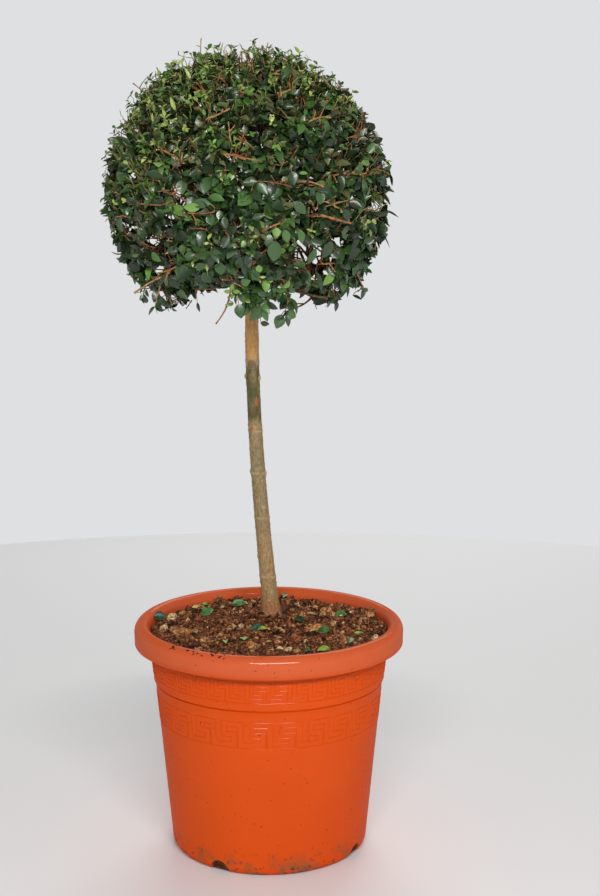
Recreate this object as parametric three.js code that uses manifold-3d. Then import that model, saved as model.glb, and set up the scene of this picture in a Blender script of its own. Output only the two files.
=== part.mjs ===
// A standard topiary: one clear stem under a clipped ball of small leaves, planted in an orange plastic pot.
// Millimetres, +Z up, front towards -Y. The origin is the centre of the pot's flat underside.

import * as THREE from 'three';
import { mergeVertices } from 'three/addons/utils/BufferGeometryUtils.js';
import Module from 'manifold-3d';

const wasm = await Module();
wasm.setup();

// Driving dimensions

const GAP = 0.3; // between pieces that touch
const UP = new THREE.Vector3(0, 0, 1);
const GOLDEN_ANGLE = Math.PI * (3 - Math.sqrt(5));

const POT = {
  facets: 40,
  wall: 2.2,
  floor: 3,
  undersideRadius: 88,
  footRound: 8.5,
  footRadius: 96.6,
  stepHeight: 171.3,
  stepRadius: 112.9,
  stepDepth: 1.4,
  collarTopRadius: 117.8,
  skirtHeight: 207,
  rimRadius: 125.4,
  rimHeight: 219,
  rimHalfWidth: 7.7,
  rimHalfHeight: 9.5,
  lipTuck: 0.4, // how far the lip's lower edge is drawn in
};

const NOTCH = { count: 4, firstAngle: -29, width: 20, height: 12.5, depth: 24, straight: 2, overrun: 1 };

const COMPOST = { seatHeight: 221.2, seatRadius: 62, edgeHeight: 218.6 };

const TRUNK = {
  facets: 7,
  steps: 46,
  foot: new THREE.Vector3(2, 40, COMPOST.seatHeight + GAP),
  length: 378.5,
  footRadius: 8.4,
  tipRadius: 4.4,
  lean: 18.8, // how far the stem has swung to the left when it stands upright
  uprightShare: 0.8, // share of its length at which it stands upright
  flare: 4.2, // extra radius where it meets the compost
  flareHeight: 12,
  taperPower: 0.55,
  knotHeights: [262, 284, 323, 369, 414, 465, 548],
  knotSwell: 1.1,
  knotLength: 5,
};

const BOUGH = { facets: 6, steps: 4, footRadius: 3.4, tipRadius: 2.4, reach: 42, bow: 4 };
const BOUGHS = [
  { place: 'right', height: 567, rise: -10 },
  { place: 'back_right', height: 586, rise: 24 },
  { place: 'back', height: 572, rise: 12 },
  { place: 'left', height: 559, rise: -6 },
  { place: 'front_left', height: 590, rise: 26 },
  { place: 'front', height: 578, rise: 14 },
];

const CROWN = {
  centre: new THREE.Vector3(-21, 38, 645),
  radius: 135, // of the clipped surface, sideways and downwards
  rise: 130, // of the clipped surface, upwards
  underside: 112, // from the centre down to the clipped underside
  frontRaise: 30, // how much higher the underside lies in front
  coreReach: 0.85,
  coreLump: 0.04, // height of the lumps on the cores, as a share of the reach
  coreWaves: new THREE.Vector3(9, 8, 10), // how closely the lumps follow each other
  coreDetail: 3,
  topCone: THREE.MathUtils.degToRad(43), // half angle of the top mass
  firstAngle: THREE.MathUtils.degToRad(-15), // bearing of the first side mass
  tipReach: 1.08, // furthest that a leaf's tip stands out, as a share of the clipped reach
  coneFacets: 30,
  column: 8, // radius of the way that the top mass's stem takes up between the side masses
  columnFacets: 12,
  margin: 0.7, // that a core keeps to the walls of its space
  twigMargin: 2.1,
  leafMargin: 1.4,
  bareRadius: 50, // under the crown no twig grows nearer to the stem
};

// A gap low on the right, through which one sees from front to back
const WINDOW = { x: 37, z: 584, radius: 17, facets: 12 };

// The bare middle of the crown, where the boughs part
const HEART = { centre: new THREE.Vector3(-20.5, 38, 588), radius: 56, rise: 62, detail: 2 };

// Each growth stage spreads its twig ends over a shell that is a share of the way out to the clipped surface
const STAGES = [
  { ends: 32, reach: 0.5, radius: 1.9, seed: 11 },
  { ends: 80, reach: 0.66, radius: 1.5, seed: 12 },
  { ends: 180, reach: 0.79, radius: 1.2, seed: 14 },
];
const SHOOT = { every: 13, reach: 0.9, radius: 1 }; // the long shoots that stand out of the clipped surface
const STEM = { radius: 2.2, length: 18, lift: 9, steps: 3 };
const JITTER = 0.06; // of a twig end's reach and bearing
const TWIG = { facets: 3, taper: 0.3 };

const LEAF = {
  length: 30,
  halfWidth: 7.2,
  halfThickness: 0.6,
  widest: 0.58, // share of the length where it is widest
  sink: 0.8,
  pairLean: 1.1, // how far a pair leans aside for each unit outwards
  endLean: 0.5,
  limbGap: 1.5,
  seed: 126,
};

// Seeded numbers between 0 and 1, the same on every run

function seeded(seed) {
  let state = seed;
  return () => {
    state = (state + 0x6d2b79f5) >>> 0;
    let mixed = Math.imul(state ^ (state >>> 15), state | 1);
    mixed ^= mixed + Math.imul(mixed ^ (mixed >>> 7), mixed | 61);
    return ((mixed ^ (mixed >>> 14)) >>> 0) / 4294967296;
  };
}

// Joining and cutting closed solids

function toSolid(geometry) {
  const bare = geometry.clone();
  bare.deleteAttribute('normal');
  bare.deleteAttribute('uv');
  const welded = mergeVertices(bare, 1e-4);
  return new wasm.Manifold(new wasm.Mesh({
    numProp: 3,
    vertProperties: new Float32Array(welded.attributes.position.array),
    triVerts: new Uint32Array(welded.index.array),
  }));
}

function toGeometry(solid) {
  const mesh = solid.getMesh();
  const geometry = new THREE.BufferGeometry();
  geometry.setAttribute('position', new THREE.BufferAttribute(mesh.vertProperties, 3));
  geometry.setIndex(new THREE.BufferAttribute(mesh.triVerts, 1));
  geometry.computeVertexNormals();
  return geometry;
}

// The largest body of a joined solid: a loose scrap is dropped and a sealed hollow filled
function mainBody(solid) {
  const bodies = solid.decompose();
  return bodies.reduce((best, body) => (body.volume() > best.volume() ? body : best));
}

// Moves every point of a geometry by a rule
function shaped(geometry, rule) {
  const positions = geometry.attributes.position;
  const point = new THREE.Vector3();
  for (let index = 0; index < positions.count; index += 1) {
    point.fromBufferAttribute(positions, index);
    const moved = rule(point);
    positions.setXYZ(index, moved.x, moved.y, moved.z);
  }
  return geometry;
}

// A closed limb: rings of a changing radius along a curve, square to the curve or to a given axis
function limb(curve, radiusAt, facets, steps, axis = null) {
  const start = curve.getTangentAt(0);
  const away = Math.abs(start.z) > 0.8 ? new THREE.Vector3(0, 1, 0) : UP;
  return shaped(new THREE.CylinderGeometry(1, 1, 1, facets, steps), (point) => {
    const share = THREE.MathUtils.clamp(point.y + 0.5, 0, 1);
    const along = axis ?? curve.getTangentAt(share);
    const across = new THREE.Vector3().crossVectors(along, away).normalize();
    const upwards = new THREE.Vector3().crossVectors(across, along);
    return curve.getPointAt(share)
      .addScaledVector(across, point.x * radiusAt(share))
      .addScaledVector(upwards, point.z * radiusAt(share));
  });
}

// Pot: a thin moulded wall with a stepped collar, a rim that curls out and down, and notches in the foot

function potRadius(height) {
  const rise = (POT.stepRadius - POT.footRadius) / POT.stepHeight;
  return POT.footRadius + rise * height;
}

function potGeometry() {
  const stepTop = POT.stepHeight + POT.stepDepth;
  const collarFoot = POT.stepRadius + POT.stepDepth;
  const section = new THREE.Path();
  section.moveTo(0, 0);
  section.lineTo(POT.undersideRadius, 0);
  section.quadraticCurveTo(POT.footRadius, 0, potRadius(POT.footRound), POT.footRound);
  section.lineTo(POT.stepRadius, POT.stepHeight);
  section.lineTo(collarFoot, stepTop);
  section.lineTo(POT.collarTopRadius, POT.skirtHeight);
  const innerHalf = POT.rimHalfWidth - POT.wall;
  const innerHeight = POT.rimHalfHeight - POT.wall;
  section.absellipse(POT.rimRadius, POT.rimHeight, innerHalf, innerHeight, Math.PI, 0, true);
  section.lineTo(POT.rimRadius + innerHalf, POT.skirtHeight);
  section.lineTo(POT.rimRadius + POT.rimHalfWidth - POT.lipTuck, POT.skirtHeight);
  section.absellipse(POT.rimRadius, POT.rimHeight, POT.rimHalfWidth, POT.rimHalfHeight, 0, Math.PI, false);
  section.lineTo(POT.collarTopRadius - POT.wall, POT.skirtHeight);
  section.lineTo(collarFoot - POT.wall, stepTop);
  section.lineTo(POT.stepRadius - POT.wall, POT.stepHeight);
  section.lineTo(potRadius(POT.floor) - POT.wall, POT.floor);
  section.lineTo(0, POT.floor);
  const shell = new THREE.LatheGeometry(section.getPoints(2), POT.facets).rotateX(Math.PI / 2);
  let pot = toSolid(shell);
  for (let index = 0; index < NOTCH.count; index += 1) {
    pot = pot.subtract(toSolid(notchGeometry(index)));
  }
  return toGeometry(pot);
}

// The round-topped block that one drainage notch takes out of the foot
function notchGeometry(index) {
  const half = NOTCH.width / 2;
  const arch = new THREE.Shape();
  arch.moveTo(-half, -NOTCH.overrun);
  arch.lineTo(half, -NOTCH.overrun);
  arch.absellipse(0, NOTCH.straight, half, NOTCH.height - NOTCH.straight, 0, Math.PI, false);
  const angle = THREE.MathUtils.degToRad(NOTCH.firstAngle + (index * 360) / NOTCH.count);
  return new THREE.ExtrudeGeometry(arch, { depth: NOTCH.depth, bevelEnabled: false, curveSegments: 5 })
    .rotateX(Math.PI / 2)
    .rotateZ(Math.PI / 2)
    .translate(POT.footRadius - NOTCH.depth / 2, 0, 0)
    .rotateZ(angle);
}

// Compost: fills the pot to just under the rim, level round the stem and a little lower at the wall

function compostGeometry() {
  const inset = POT.wall + GAP;
  const stepTop = POT.stepHeight + POT.stepDepth;
  const edgeRadius = POT.rimRadius - POT.rimHalfWidth - GAP;
  const section = new THREE.Path();
  section.moveTo(0, POT.floor + GAP);
  section.lineTo(potRadius(POT.floor) - inset, POT.floor + GAP);
  section.lineTo(POT.stepRadius - inset, POT.stepHeight);
  section.lineTo(POT.stepRadius + POT.stepDepth - inset, stepTop + GAP);
  section.lineTo(POT.collarTopRadius - inset, POT.skirtHeight);
  section.lineTo(edgeRadius - GAP, COMPOST.edgeHeight);
  section.lineTo(COMPOST.seatRadius, COMPOST.seatHeight);
  section.lineTo(0, COMPOST.seatHeight);
  return toGeometry(toSolid(new THREE.LatheGeometry(section.getPoints(1), POT.facets).rotateX(Math.PI / 2)));
}

// Trunk: a bare stem that leans to the left, thickest at its flared foot, with a swelling at each old node

class TrunkLine extends THREE.Curve {
  getPoint(share, target = new THREE.Vector3()) {
    const swing = TRUNK.lean * Math.sin((share / TRUNK.uprightShare) * (Math.PI / 2));
    return target.set(TRUNK.foot.x - swing, TRUNK.foot.y, TRUNK.foot.z + share * TRUNK.length);
  }
}

const TRUNK_LINE = new TrunkLine();

function trunkRadius(height) {
  const above = Math.max(0, height - TRUNK.foot.z);
  const taper = Math.max(0, 1 - above / TRUNK.length) ** TRUNK.taperPower;
  const flare = TRUNK.flare * Math.exp(-above / TRUNK.flareHeight);
  const swell = TRUNK.knotHeights.reduce((sum, knot) => (
    sum + TRUNK.knotSwell * Math.exp(-(((height - knot) / TRUNK.knotLength) ** 2))
  ), 0);
  return TRUNK.tipRadius + (TRUNK.footRadius - TRUNK.tipRadius) * taper + flare + swell;
}

function trunkGeometry(extra = 0) {
  const radiusAt = (share) => trunkRadius(TRUNK_LINE.getPointAt(share).z) + extra;
  return limb(TRUNK_LINE, radiusAt, TRUNK.facets, TRUNK.steps, UP);
}

function trunkAxisAt(height) {
  return TRUNK_LINE.getPoint((height - TRUNK.foot.z) / TRUNK.length);
}

// Boughs: one into each side mass, from the trunk's axis out to the edge of the bare heart

function bearing(index) {
  return CROWN.firstAngle + (index * 2 * Math.PI) / BOUGHS.length;
}

function boughCurve(index) {
  const { height, rise } = BOUGHS[index];
  const angle = bearing(index);
  const start = trunkAxisAt(height);
  const outward = new THREE.Vector3(Math.cos(angle), Math.sin(angle), 0);
  const tip = start.clone().addScaledVector(outward, BOUGH.reach);
  tip.z += rise;
  const bend = start.clone().lerp(tip, 0.5);
  bend.z += BOUGH.bow;
  return new THREE.QuadraticBezierCurve3(start, bend, tip);
}

function boughGeometry(index) {
  const radiusAt = (share) => THREE.MathUtils.lerp(BOUGH.footRadius, BOUGH.tipRadius, share);
  const bough = toSolid(limb(boughCurve(index), radiusAt, BOUGH.facets, BOUGH.steps));
  return toGeometry(mainBody(bough.subtract(toSolid(trunkGeometry(GAP)))));
}

// Crown space: the clipped ball is shared out among one top mass and six side masses

const TOP = BOUGHS.length;

function clippedReach(direction) {
  const across = Math.hypot(direction.x, direction.y) / CROWN.radius;
  const vertical = direction.z / (direction.z > 0 ? CROWN.rise : CROWN.radius);
  const reach = 1 / Math.hypot(across, vertical);
  const raise = CROWN.frontRaise * THREE.MathUtils.clamp(-2 * direction.y, 0, 1);
  return direction.z < 0 ? Math.min(reach, (CROWN.underside - raise) / -direction.z) : reach;
}

// How far a point lies inside a mass's space, less than nothing when it is outside
function depthInside(mass, point) {
  const from = new THREE.Vector3().subVectors(point, CROWN.centre);
  const across = Math.hypot(from.x, from.y);
  const belowCone = across * Math.cos(CROWN.topCone) - from.z * Math.sin(CROWN.topCone);
  if (mass === TOP) {
    return Math.max(-belowCone, CROWN.column - CROWN.margin - across);
  }
  const half = Math.PI / BOUGHS.length;
  const along = from.x * Math.cos(bearing(mass)) + from.y * Math.sin(bearing(mass));
  const aside = from.y * Math.cos(bearing(mass)) - from.x * Math.sin(bearing(mass));
  const walls = along * Math.sin(half) - Math.abs(aside) * Math.cos(half);
  return Math.min(belowCone, walls, across - CROWN.column);
}

// Boughs and trunk as plain lines with a radius, for keeping twigs and leaves clear of them
function limbLines() {
  const lines = BOUGHS.map((_, index) => ({
    points: boughCurve(index).getPoints(8),
    radius: BOUGH.footRadius,
  }));
  lines.push({ points: TRUNK_LINE.getPoints(60), radius: TRUNK.footRadius });
  return lines;
}

const LIMB_LINES = limbLines();

function clearOfLimbs(point) {
  return LIMB_LINES.every(({ points, radius }) => (
    points.every((place) => place.distanceTo(point) > radius + LEAF.limbGap)
  ));
}

// Growth rule: twig ends spread evenly over each stage's shell join the nearest end of the stage before

function spiralPoint(index, count) {
  const height = 1 - (2 * index + 1) / count;
  const around = index * GOLDEN_ANGLE;
  const across = Math.sqrt(1 - height * height);
  return new THREE.Vector3(across * Math.cos(around), across * Math.sin(around), height);
}

// A mass's stem carries its bough on, and turns up a little into the mass
function massStem(mass) {
  const limbLine = mass === TOP ? TRUNK_LINE : boughCurve(mass);
  const tipHeading = limbLine.getTangentAt(1);
  const start = limbLine.getPointAt(1).addScaledVector(tipHeading, GAP);
  const bend = start.clone().addScaledVector(tipHeading, STEM.length / 2);
  const end = bend.clone().addScaledVector(tipHeading, STEM.length / 2);
  end.z += STEM.lift;
  const line = new THREE.QuadraticBezierCurve3(start, bend, mass === TOP ? CROWN.centre.clone() : end);
  return { mass, line, end: line.getPoint(1), radius: STEM.radius, stage: -1 };
}

// A twig is kept only if it stays in its mass's space, clear of the limbs and of the bare place below
function twigFits(start, end, mass) {
  const beside = Math.hypot(end.x - HEART.centre.x, end.y - HEART.centre.y);
  const bare = end.z < HEART.centre.z && beside < CROWN.bareRadius;
  return !bare && [0.25, 0.5, 0.75, 1].every((share) => {
    const point = start.clone().lerp(end, share);
    return depthInside(mass, point) > CROWN.twigMargin && clearOfLimbs(point);
  });
}

function grow() {
  const masses = [...BOUGHS.keys(), TOP];
  const twigs = masses.map(massStem);
  let parents = twigs.slice();
  STAGES.forEach(({ ends, reach, radius, seed }, stage) => {
    const random = seeded(seed);
    const grown = [];
    for (let index = 0; index < ends; index += 1) {
      const wander = new THREE.Vector3(random() - 0.5, random() - 0.5, random() - 0.5);
      const direction = spiralPoint(index, ends).addScaledVector(wander, 2 * JITTER).normalize();
      const share = reach * (1 - JITTER * random());
      const end = CROWN.centre.clone().addScaledVector(direction, share * clippedReach(direction));
      const mass = masses.find((candidate) => depthInside(candidate, end) > CROWN.twigMargin);
      const parent = parents.filter((twig) => twig.mass === mass && twigFits(twig.end, end, mass))
        .sort((one, other) => one.end.distanceTo(end) - other.end.distanceTo(end))[0];
      if (parent) {
        grown.push({ mass, line: twigLine(parent.end, end, radius), end, radius, stage });
      }
    }
    twigs.push(...grown);
    parents = grown;
  });
  return [...twigs, ...parents.filter((_, index) => index % SHOOT.every === 0).map(longShoot)];
}

// A long shoot carries an outer twig on, straight away from the crown's centre
function longShoot({ mass, end }) {
  const outward = new THREE.Vector3().subVectors(end, CROWN.centre).normalize();
  const tip = CROWN.centre.clone().addScaledVector(outward, SHOOT.reach * clippedReach(outward));
  const line = twigLine(end, tip, SHOOT.radius);
  return { mass, line, end: tip, radius: SHOOT.radius, stage: STAGES.length };
}

// A twig's line starts a little way back, so that its foot is sunk into the twig it grows from
function twigLine(foot, tip, sunk) {
  const heading = new THREE.Vector3().subVectors(tip, foot).normalize();
  return new THREE.LineCurve3(foot.clone().addScaledVector(heading, -sunk), tip);
}

// Twigs: three-sided limbs, bent only in a mass's stem

function twigGeometry({ line, radius, stage }) {
  const radiusAt = (share) => radius * (1 - TWIG.taper * share);
  return limb(line, radiusAt, TWIG.facets, stage < 0 ? STEM.steps : 1);
}

// Leaves: eight-faced blades at the end of each outer twig and long shoot, a pair and one between

function leafPoint({ base, heading, outward }, along, aside, proud) {
  const side = new THREE.Vector3().crossVectors(heading, outward).normalize();
  const face = new THREE.Vector3().crossVectors(side, heading).normalize();
  return base.clone()
    .addScaledVector(heading, along * LEAF.length - LEAF.sink)
    .addScaledVector(side, aside * LEAF.halfWidth)
    .addScaledVector(face, proud * LEAF.halfThickness);
}

function leafGeometry(leaf) {
  return shaped(new THREE.OctahedronGeometry(1), (point) => {
    const along = point.y === 0 ? LEAF.widest : (point.y + 1) / 2;
    return leafPoint(leaf, along, point.x, point.z);
  });
}

function leavesOn(twig, random) {
  const outward = new THREE.Vector3().subVectors(twig.end, CROWN.centre).normalize();
  const away = Math.abs(outward.z) > 0.8 ? new THREE.Vector3(0, 1, 0) : UP;
  const across = new THREE.Vector3().crossVectors(outward, away).normalize();
  across.applyAxisAngle(outward, random() * Math.PI);
  const between = across.clone().applyAxisAngle(outward, Math.PI / 2);
  const leaf = (aside, lean) => ({
    base: twig.end,
    heading: aside.clone().multiplyScalar(lean).add(outward).normalize(),
    outward,
  });
  return [leaf(across, LEAF.pairLean), leaf(across, -LEAF.pairLean), leaf(between, LEAF.endLean)];
}

// A leaf is kept only if it stays in its mass's space and the crown's reach, clear of the gap and the limbs
function leafFits(leaf, mass) {
  const corners = [[1, 0], [LEAF.widest, 1], [LEAF.widest, -1], [0.3, 0]];
  return corners.every(([along, aside]) => {
    const point = leafPoint(leaf, along, aside, 0);
    const outward = point.clone().sub(CROWN.centre);
    const furthest = CROWN.tipReach * clippedReach(outward.clone().normalize());
    const within = outward.length() < furthest && depthInside(mass, point) > CROWN.leafMargin;
    const inWindow = Math.hypot(point.x - WINDOW.x, point.z - WINDOW.z) < WINDOW.radius;
    return within && !inWindow && clearOfLimbs(point);
  });
}

// Cores: the dense inside of each mass, lumpy, cut to the mass's space and clear of the bare heart

function ballGeometry(centre, detail, reachOf) {
  return shaped(new THREE.IcosahedronGeometry(1, detail), (point) => (
    point.clone().normalize().multiplyScalar(reachOf(point)).add(centre)
  ));
}

function coreBall() {
  return toSolid(ballGeometry(CROWN.centre, CROWN.coreDetail, (direction) => {
    const { x, y, z } = direction.clone().multiply(CROWN.coreWaves);
    const lump = Math.sin(x + 2) * Math.sin(y + 1) * Math.sin(z);
    return clippedReach(direction) * CROWN.coreReach * (1 + CROWN.coreLump * lump);
  }));
}

function heartSolid() {
  return toSolid(ballGeometry(HEART.centre, HEART.detail, (direction) => (
    1 / Math.hypot(Math.hypot(direction.x, direction.y) / HEART.radius, direction.z / HEART.rise)
  )));
}

function topConeSolid(offset) {
  const height = 2 * CROWN.radius;
  const shift = offset / Math.sin(CROWN.topCone);
  return toSolid(new THREE.ConeGeometry(height * Math.tan(CROWN.topCone), height, CROWN.coneFacets)
    .rotateX(-Math.PI / 2)
    .translate(CROWN.centre.x, CROWN.centre.y, CROWN.centre.z + height / 2 + shift));
}

function columnSolid() {
  return toSolid(new THREE.CylinderGeometry(CROWN.column, CROWN.column, 4 * CROWN.radius, CROWN.columnFacets)
    .rotateX(Math.PI / 2)
    .translate(CROWN.centre.x, CROWN.centre.y, CROWN.centre.z));
}

function windowSolid() {
  return toSolid(new THREE.CylinderGeometry(WINDOW.radius, WINDOW.radius, 4 * CROWN.radius, WINDOW.facets)
    .translate(WINDOW.x, CROWN.centre.y, WINDOW.z));
}

function wedgeSolid(mass) {
  const half = Math.PI / BOUGHS.length;
  const far = 2 * CROWN.radius;
  const apex = CROWN.margin / Math.sin(half);
  const plan = new THREE.Shape();
  plan.moveTo(apex, 0);
  plan.lineTo(apex + far * Math.cos(half), -far * Math.sin(half));
  plan.lineTo(apex + far * Math.cos(half), far * Math.sin(half));
  return toSolid(new THREE.ExtrudeGeometry(plan, { depth: 2 * far, bevelEnabled: false })
    .rotateZ(bearing(mass))
    .translate(CROWN.centre.x, CROWN.centre.y, CROWN.centre.z - far));
}

function coreSolid(mass) {
  const ball = coreBall().subtract(heartSolid()).subtract(windowSolid());
  if (mass === TOP) {
    return ball.intersect(topConeSolid(CROWN.margin));
  }
  return ball.intersect(wedgeSolid(mass)).subtract(topConeSolid(-CROWN.margin)).subtract(columnSolid());
}

function massGeometry(mass, twigs) {
  const random = seeded(LEAF.seed * (mass + 1));
  const pieces = [coreSolid(mass)];
  twigs.filter((twig) => twig.mass === mass).forEach((twig) => {
    pieces.push(toSolid(twigGeometry(twig)));
    if (twig.stage >= STAGES.length - 1) {
      leavesOn(twig, random)
        .filter((leaf) => leafFits(leaf, mass))
        .forEach((leaf) => pieces.push(toSolid(leafGeometry(leaf))));
    }
  });
  return toGeometry(mainBody(wasm.Manifold.union(pieces)));
}

// The plant, one mesh for each piece

const terracotta = new THREE.MeshStandardMaterial({ color: 0xdc551e, roughness: 0.4, metalness: 0 });
const soil = new THREE.MeshStandardMaterial({ color: 0x3b2a20, roughness: 0.95, metalness: 0 });
const bark = new THREE.MeshStandardMaterial({ color: 0x8a7a45, roughness: 0.8, metalness: 0 });
const foliage = new THREE.MeshStandardMaterial({ color: 0x2f4a1c, roughness: 0.5, metalness: 0 });

const topiary = new THREE.Group();

function addPiece(name, geometry, material) {
  const mesh = new THREE.Mesh(geometry, material);
  mesh.name = name;
  topiary.add(mesh);
}

addPiece('pot', potGeometry(), terracotta);
addPiece('compost', compostGeometry(), soil);
addPiece('trunk', trunkGeometry(), bark);
BOUGHS.forEach(({ place }, index) => addPiece(`bough_${place}`, boughGeometry(index), bark));

const twigs = grow();
BOUGHS.forEach(({ place }, index) => addPiece(`foliage_${place}`, massGeometry(index, twigs), foliage));
addPiece('foliage_top', massGeometry(TOP, twigs), foliage);

export default topiary;
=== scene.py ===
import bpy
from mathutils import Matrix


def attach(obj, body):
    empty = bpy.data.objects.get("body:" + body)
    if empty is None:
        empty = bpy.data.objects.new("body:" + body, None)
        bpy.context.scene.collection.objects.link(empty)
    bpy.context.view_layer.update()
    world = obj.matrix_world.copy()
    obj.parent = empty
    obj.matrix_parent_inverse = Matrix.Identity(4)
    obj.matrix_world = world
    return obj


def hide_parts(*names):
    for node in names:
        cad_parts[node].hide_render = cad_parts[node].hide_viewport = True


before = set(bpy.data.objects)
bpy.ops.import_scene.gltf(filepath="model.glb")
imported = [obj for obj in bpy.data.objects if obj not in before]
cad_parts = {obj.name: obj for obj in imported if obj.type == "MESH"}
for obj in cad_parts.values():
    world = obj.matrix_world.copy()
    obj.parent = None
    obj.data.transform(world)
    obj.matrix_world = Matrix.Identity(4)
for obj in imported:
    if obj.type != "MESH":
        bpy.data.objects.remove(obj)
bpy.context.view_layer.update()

import math

import bpy
import numpy as np
from mathutils import Vector, kdtree, noise

# Pot
# A round patio pot moulded in orange plastic, with a step under its collar and a rim that curls out and down.
# Two bands of a meander stand proud of the wall, and four small arches in the foot let the water out.

MM = 0.001  # everything is drawn in millimetres and kept in metres

POT_SIDES = 288
POT_WALL = 2.2
POT_FLOOR = 3
POT_CREASE = 40  # edges sharper than this many degrees are drawn crisp
FOOT_CORNER = [(86.0, 0.0), (96.4, 0.0), (97.4, 8.5)]  # where the underside turns up into the wall
FOOT_RADIUS = 96.6
STEP_HEIGHT = 171.3
STEP_RADIUS = 112.9
STEP_DEPTH = 1.4
GROOVE_DEPTH = 1.5
COLLAR_TOP = (117.8, 207.0)
ROLL_CENTRE = (125.4, 219.0)
ROLL_SIZE = (7.7, 9.5)
SHELL_GLOSS = 0.15
RIB_GLOSS = 0.045

ARCH_COUNT = 4
ARCH_FIRST_ANGLE = -29
ARCH_WIDTH = 20
ARCH_HEIGHT = 12.5
ARCH_STRAIGHT = 2
ARCH_DEPTH = 24

MEANDER_BANDS = [
    {"foot": 179.2, "row": 4.16, "units": 37},
    {"foot": 133.1, "row": 5.26, "units": 25},
]
MEANDER_ROWS = 5  # a band is five rows high: raised strips at the bottom, middle and top
MEANDER_TURNS = [(-0.7, 0.5), (2.9, 0.5), (2.9, 2.5), (1.2, 2.5), (1.2, 4.5), (4.0, 4.5)]
MEANDER_REPEAT = 4.7  # one unit's length, in the same columns
RIB_WIDTH = 1.0
RIB_PROUD = 0.36
RIB_SUNK = 0.4
RIB_STEP = 3.0
RIB_CREASE = 25

# The plastic's colours, and where each lies: sun-worn on the rim and paler there with a painted sheen, splashed and
# crusted with mud near the ground
PLASTIC_DEEP, PLASTIC_PALE = (0.64, 0.067, 0.002), (0.68, 0.075, 0.002)
PLASTIC_WORN_SHEEN = (0.56, 0.15, 0.07)
MUD, MUD_CRUST, MUD_SPECK = (0.3, 0.085, 0.025), (0.07, 0.03, 0.015), (0.1, 0.03, 0.012)


def make_piece(name, points, faces, finishes, finish_of_face=None, crease=None):
    """A smooth-shaded mesh from points in millimetres, which rides on the part."""
    mesh = bpy.data.meshes.new(name)
    mesh.from_pydata((np.asarray(points) * MM).tolist(), [], faces)
    for finish in finishes:
        mesh.materials.append(finish)
    mesh.polygons.foreach_set("use_smooth", np.ones(len(mesh.polygons), bool))
    if finish_of_face is not None:
        mesh.polygons.foreach_set("material_index", np.asarray(finish_of_face, np.int32))
    if crease is not None:
        mesh.set_sharp_from_angle(angle=math.radians(crease))
    mesh.update()
    piece = bpy.data.objects.new(name, mesh)
    bpy.context.scene.collection.objects.link(piece)
    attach(piece, "root")
    return piece


def new_finish(name, colour, roughness):
    """A finish with its shader, and the means to add nodes to it."""
    finish = bpy.data.materials.new(name)
    finish.use_nodes = True
    tree = finish.node_tree
    shader = tree.nodes["Principled BSDF"]
    shader.inputs["Base Color"].default_value = (*colour, 1)
    shader.inputs["Roughness"].default_value = roughness
    return finish, tree, shader


def add_noise(tree, scale, detail=3.0, stretch=(1, 1, 1)):
    """Cloudy variation fixed to the piece, from 0 to 1."""
    place = tree.nodes.new("ShaderNodeTexCoord")
    mapping = tree.nodes.new("ShaderNodeMapping")
    mapping.inputs["Scale"].default_value = stretch
    cloud = tree.nodes.new("ShaderNodeTexNoise")
    cloud.inputs["Scale"].default_value = scale
    cloud.inputs["Detail"].default_value = detail
    tree.links.new(place.outputs["Object"], mapping.inputs["Vector"])
    tree.links.new(mapping.outputs["Vector"], cloud.inputs["Vector"])
    return cloud.outputs["Fac"]


def add_range(tree, value, low, high, to_low=0.0, to_high=1.0):
    """Maps a value from one range to another, held at both ends."""
    ranged = tree.nodes.new("ShaderNodeMapRange")
    for socket, number in (("From Min", low), ("From Max", high), ("To Min", to_low), ("To Max", to_high)):
        ranged.inputs[socket].default_value = number
    tree.links.new(value, ranged.inputs["Value"])
    return ranged.outputs["Result"]


def add_product(tree, one, other):
    """Two shares multiplied, so that the result shows only where both do."""
    product = tree.nodes.new("ShaderNodeMath")
    product.operation = "MULTIPLY"
    tree.links.new(one, product.inputs[0])
    tree.links.new(other, product.inputs[1])
    return product.outputs["Value"]


def add_mix(tree, share, one, other):
    """One colour turning into another. Each is a plain colour or the output of a node."""
    mix = tree.nodes.new("ShaderNodeMix")
    mix.data_type = "RGBA"
    for socket, colour in ((mix.inputs["A"], one), (mix.inputs["B"], other)):
        if isinstance(colour, tuple):
            socket.default_value = (*colour, 1)
        else:
            tree.links.new(colour, socket)
    tree.links.new(share, mix.inputs["Factor"])
    return mix.outputs["Result"]


def add_bump(tree, shader, height, strength, depth):
    """Fine relief in the shading, its depth in millimetres."""
    bump = tree.nodes.new("ShaderNodeBump")
    bump.inputs["Strength"].default_value = strength
    bump.inputs["Distance"].default_value = depth * MM
    tree.links.new(height, bump.inputs["Height"])
    tree.links.new(bump.outputs["Normal"], shader.inputs["Normal"])


def add_height(tree):
    """The height above the ground, in metres."""
    place = tree.nodes.new("ShaderNodeTexCoord")
    split = tree.nodes.new("ShaderNodeSeparateXYZ")
    tree.links.new(place.outputs["Object"], split.inputs["Vector"])
    return split.outputs["Z"]


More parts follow.
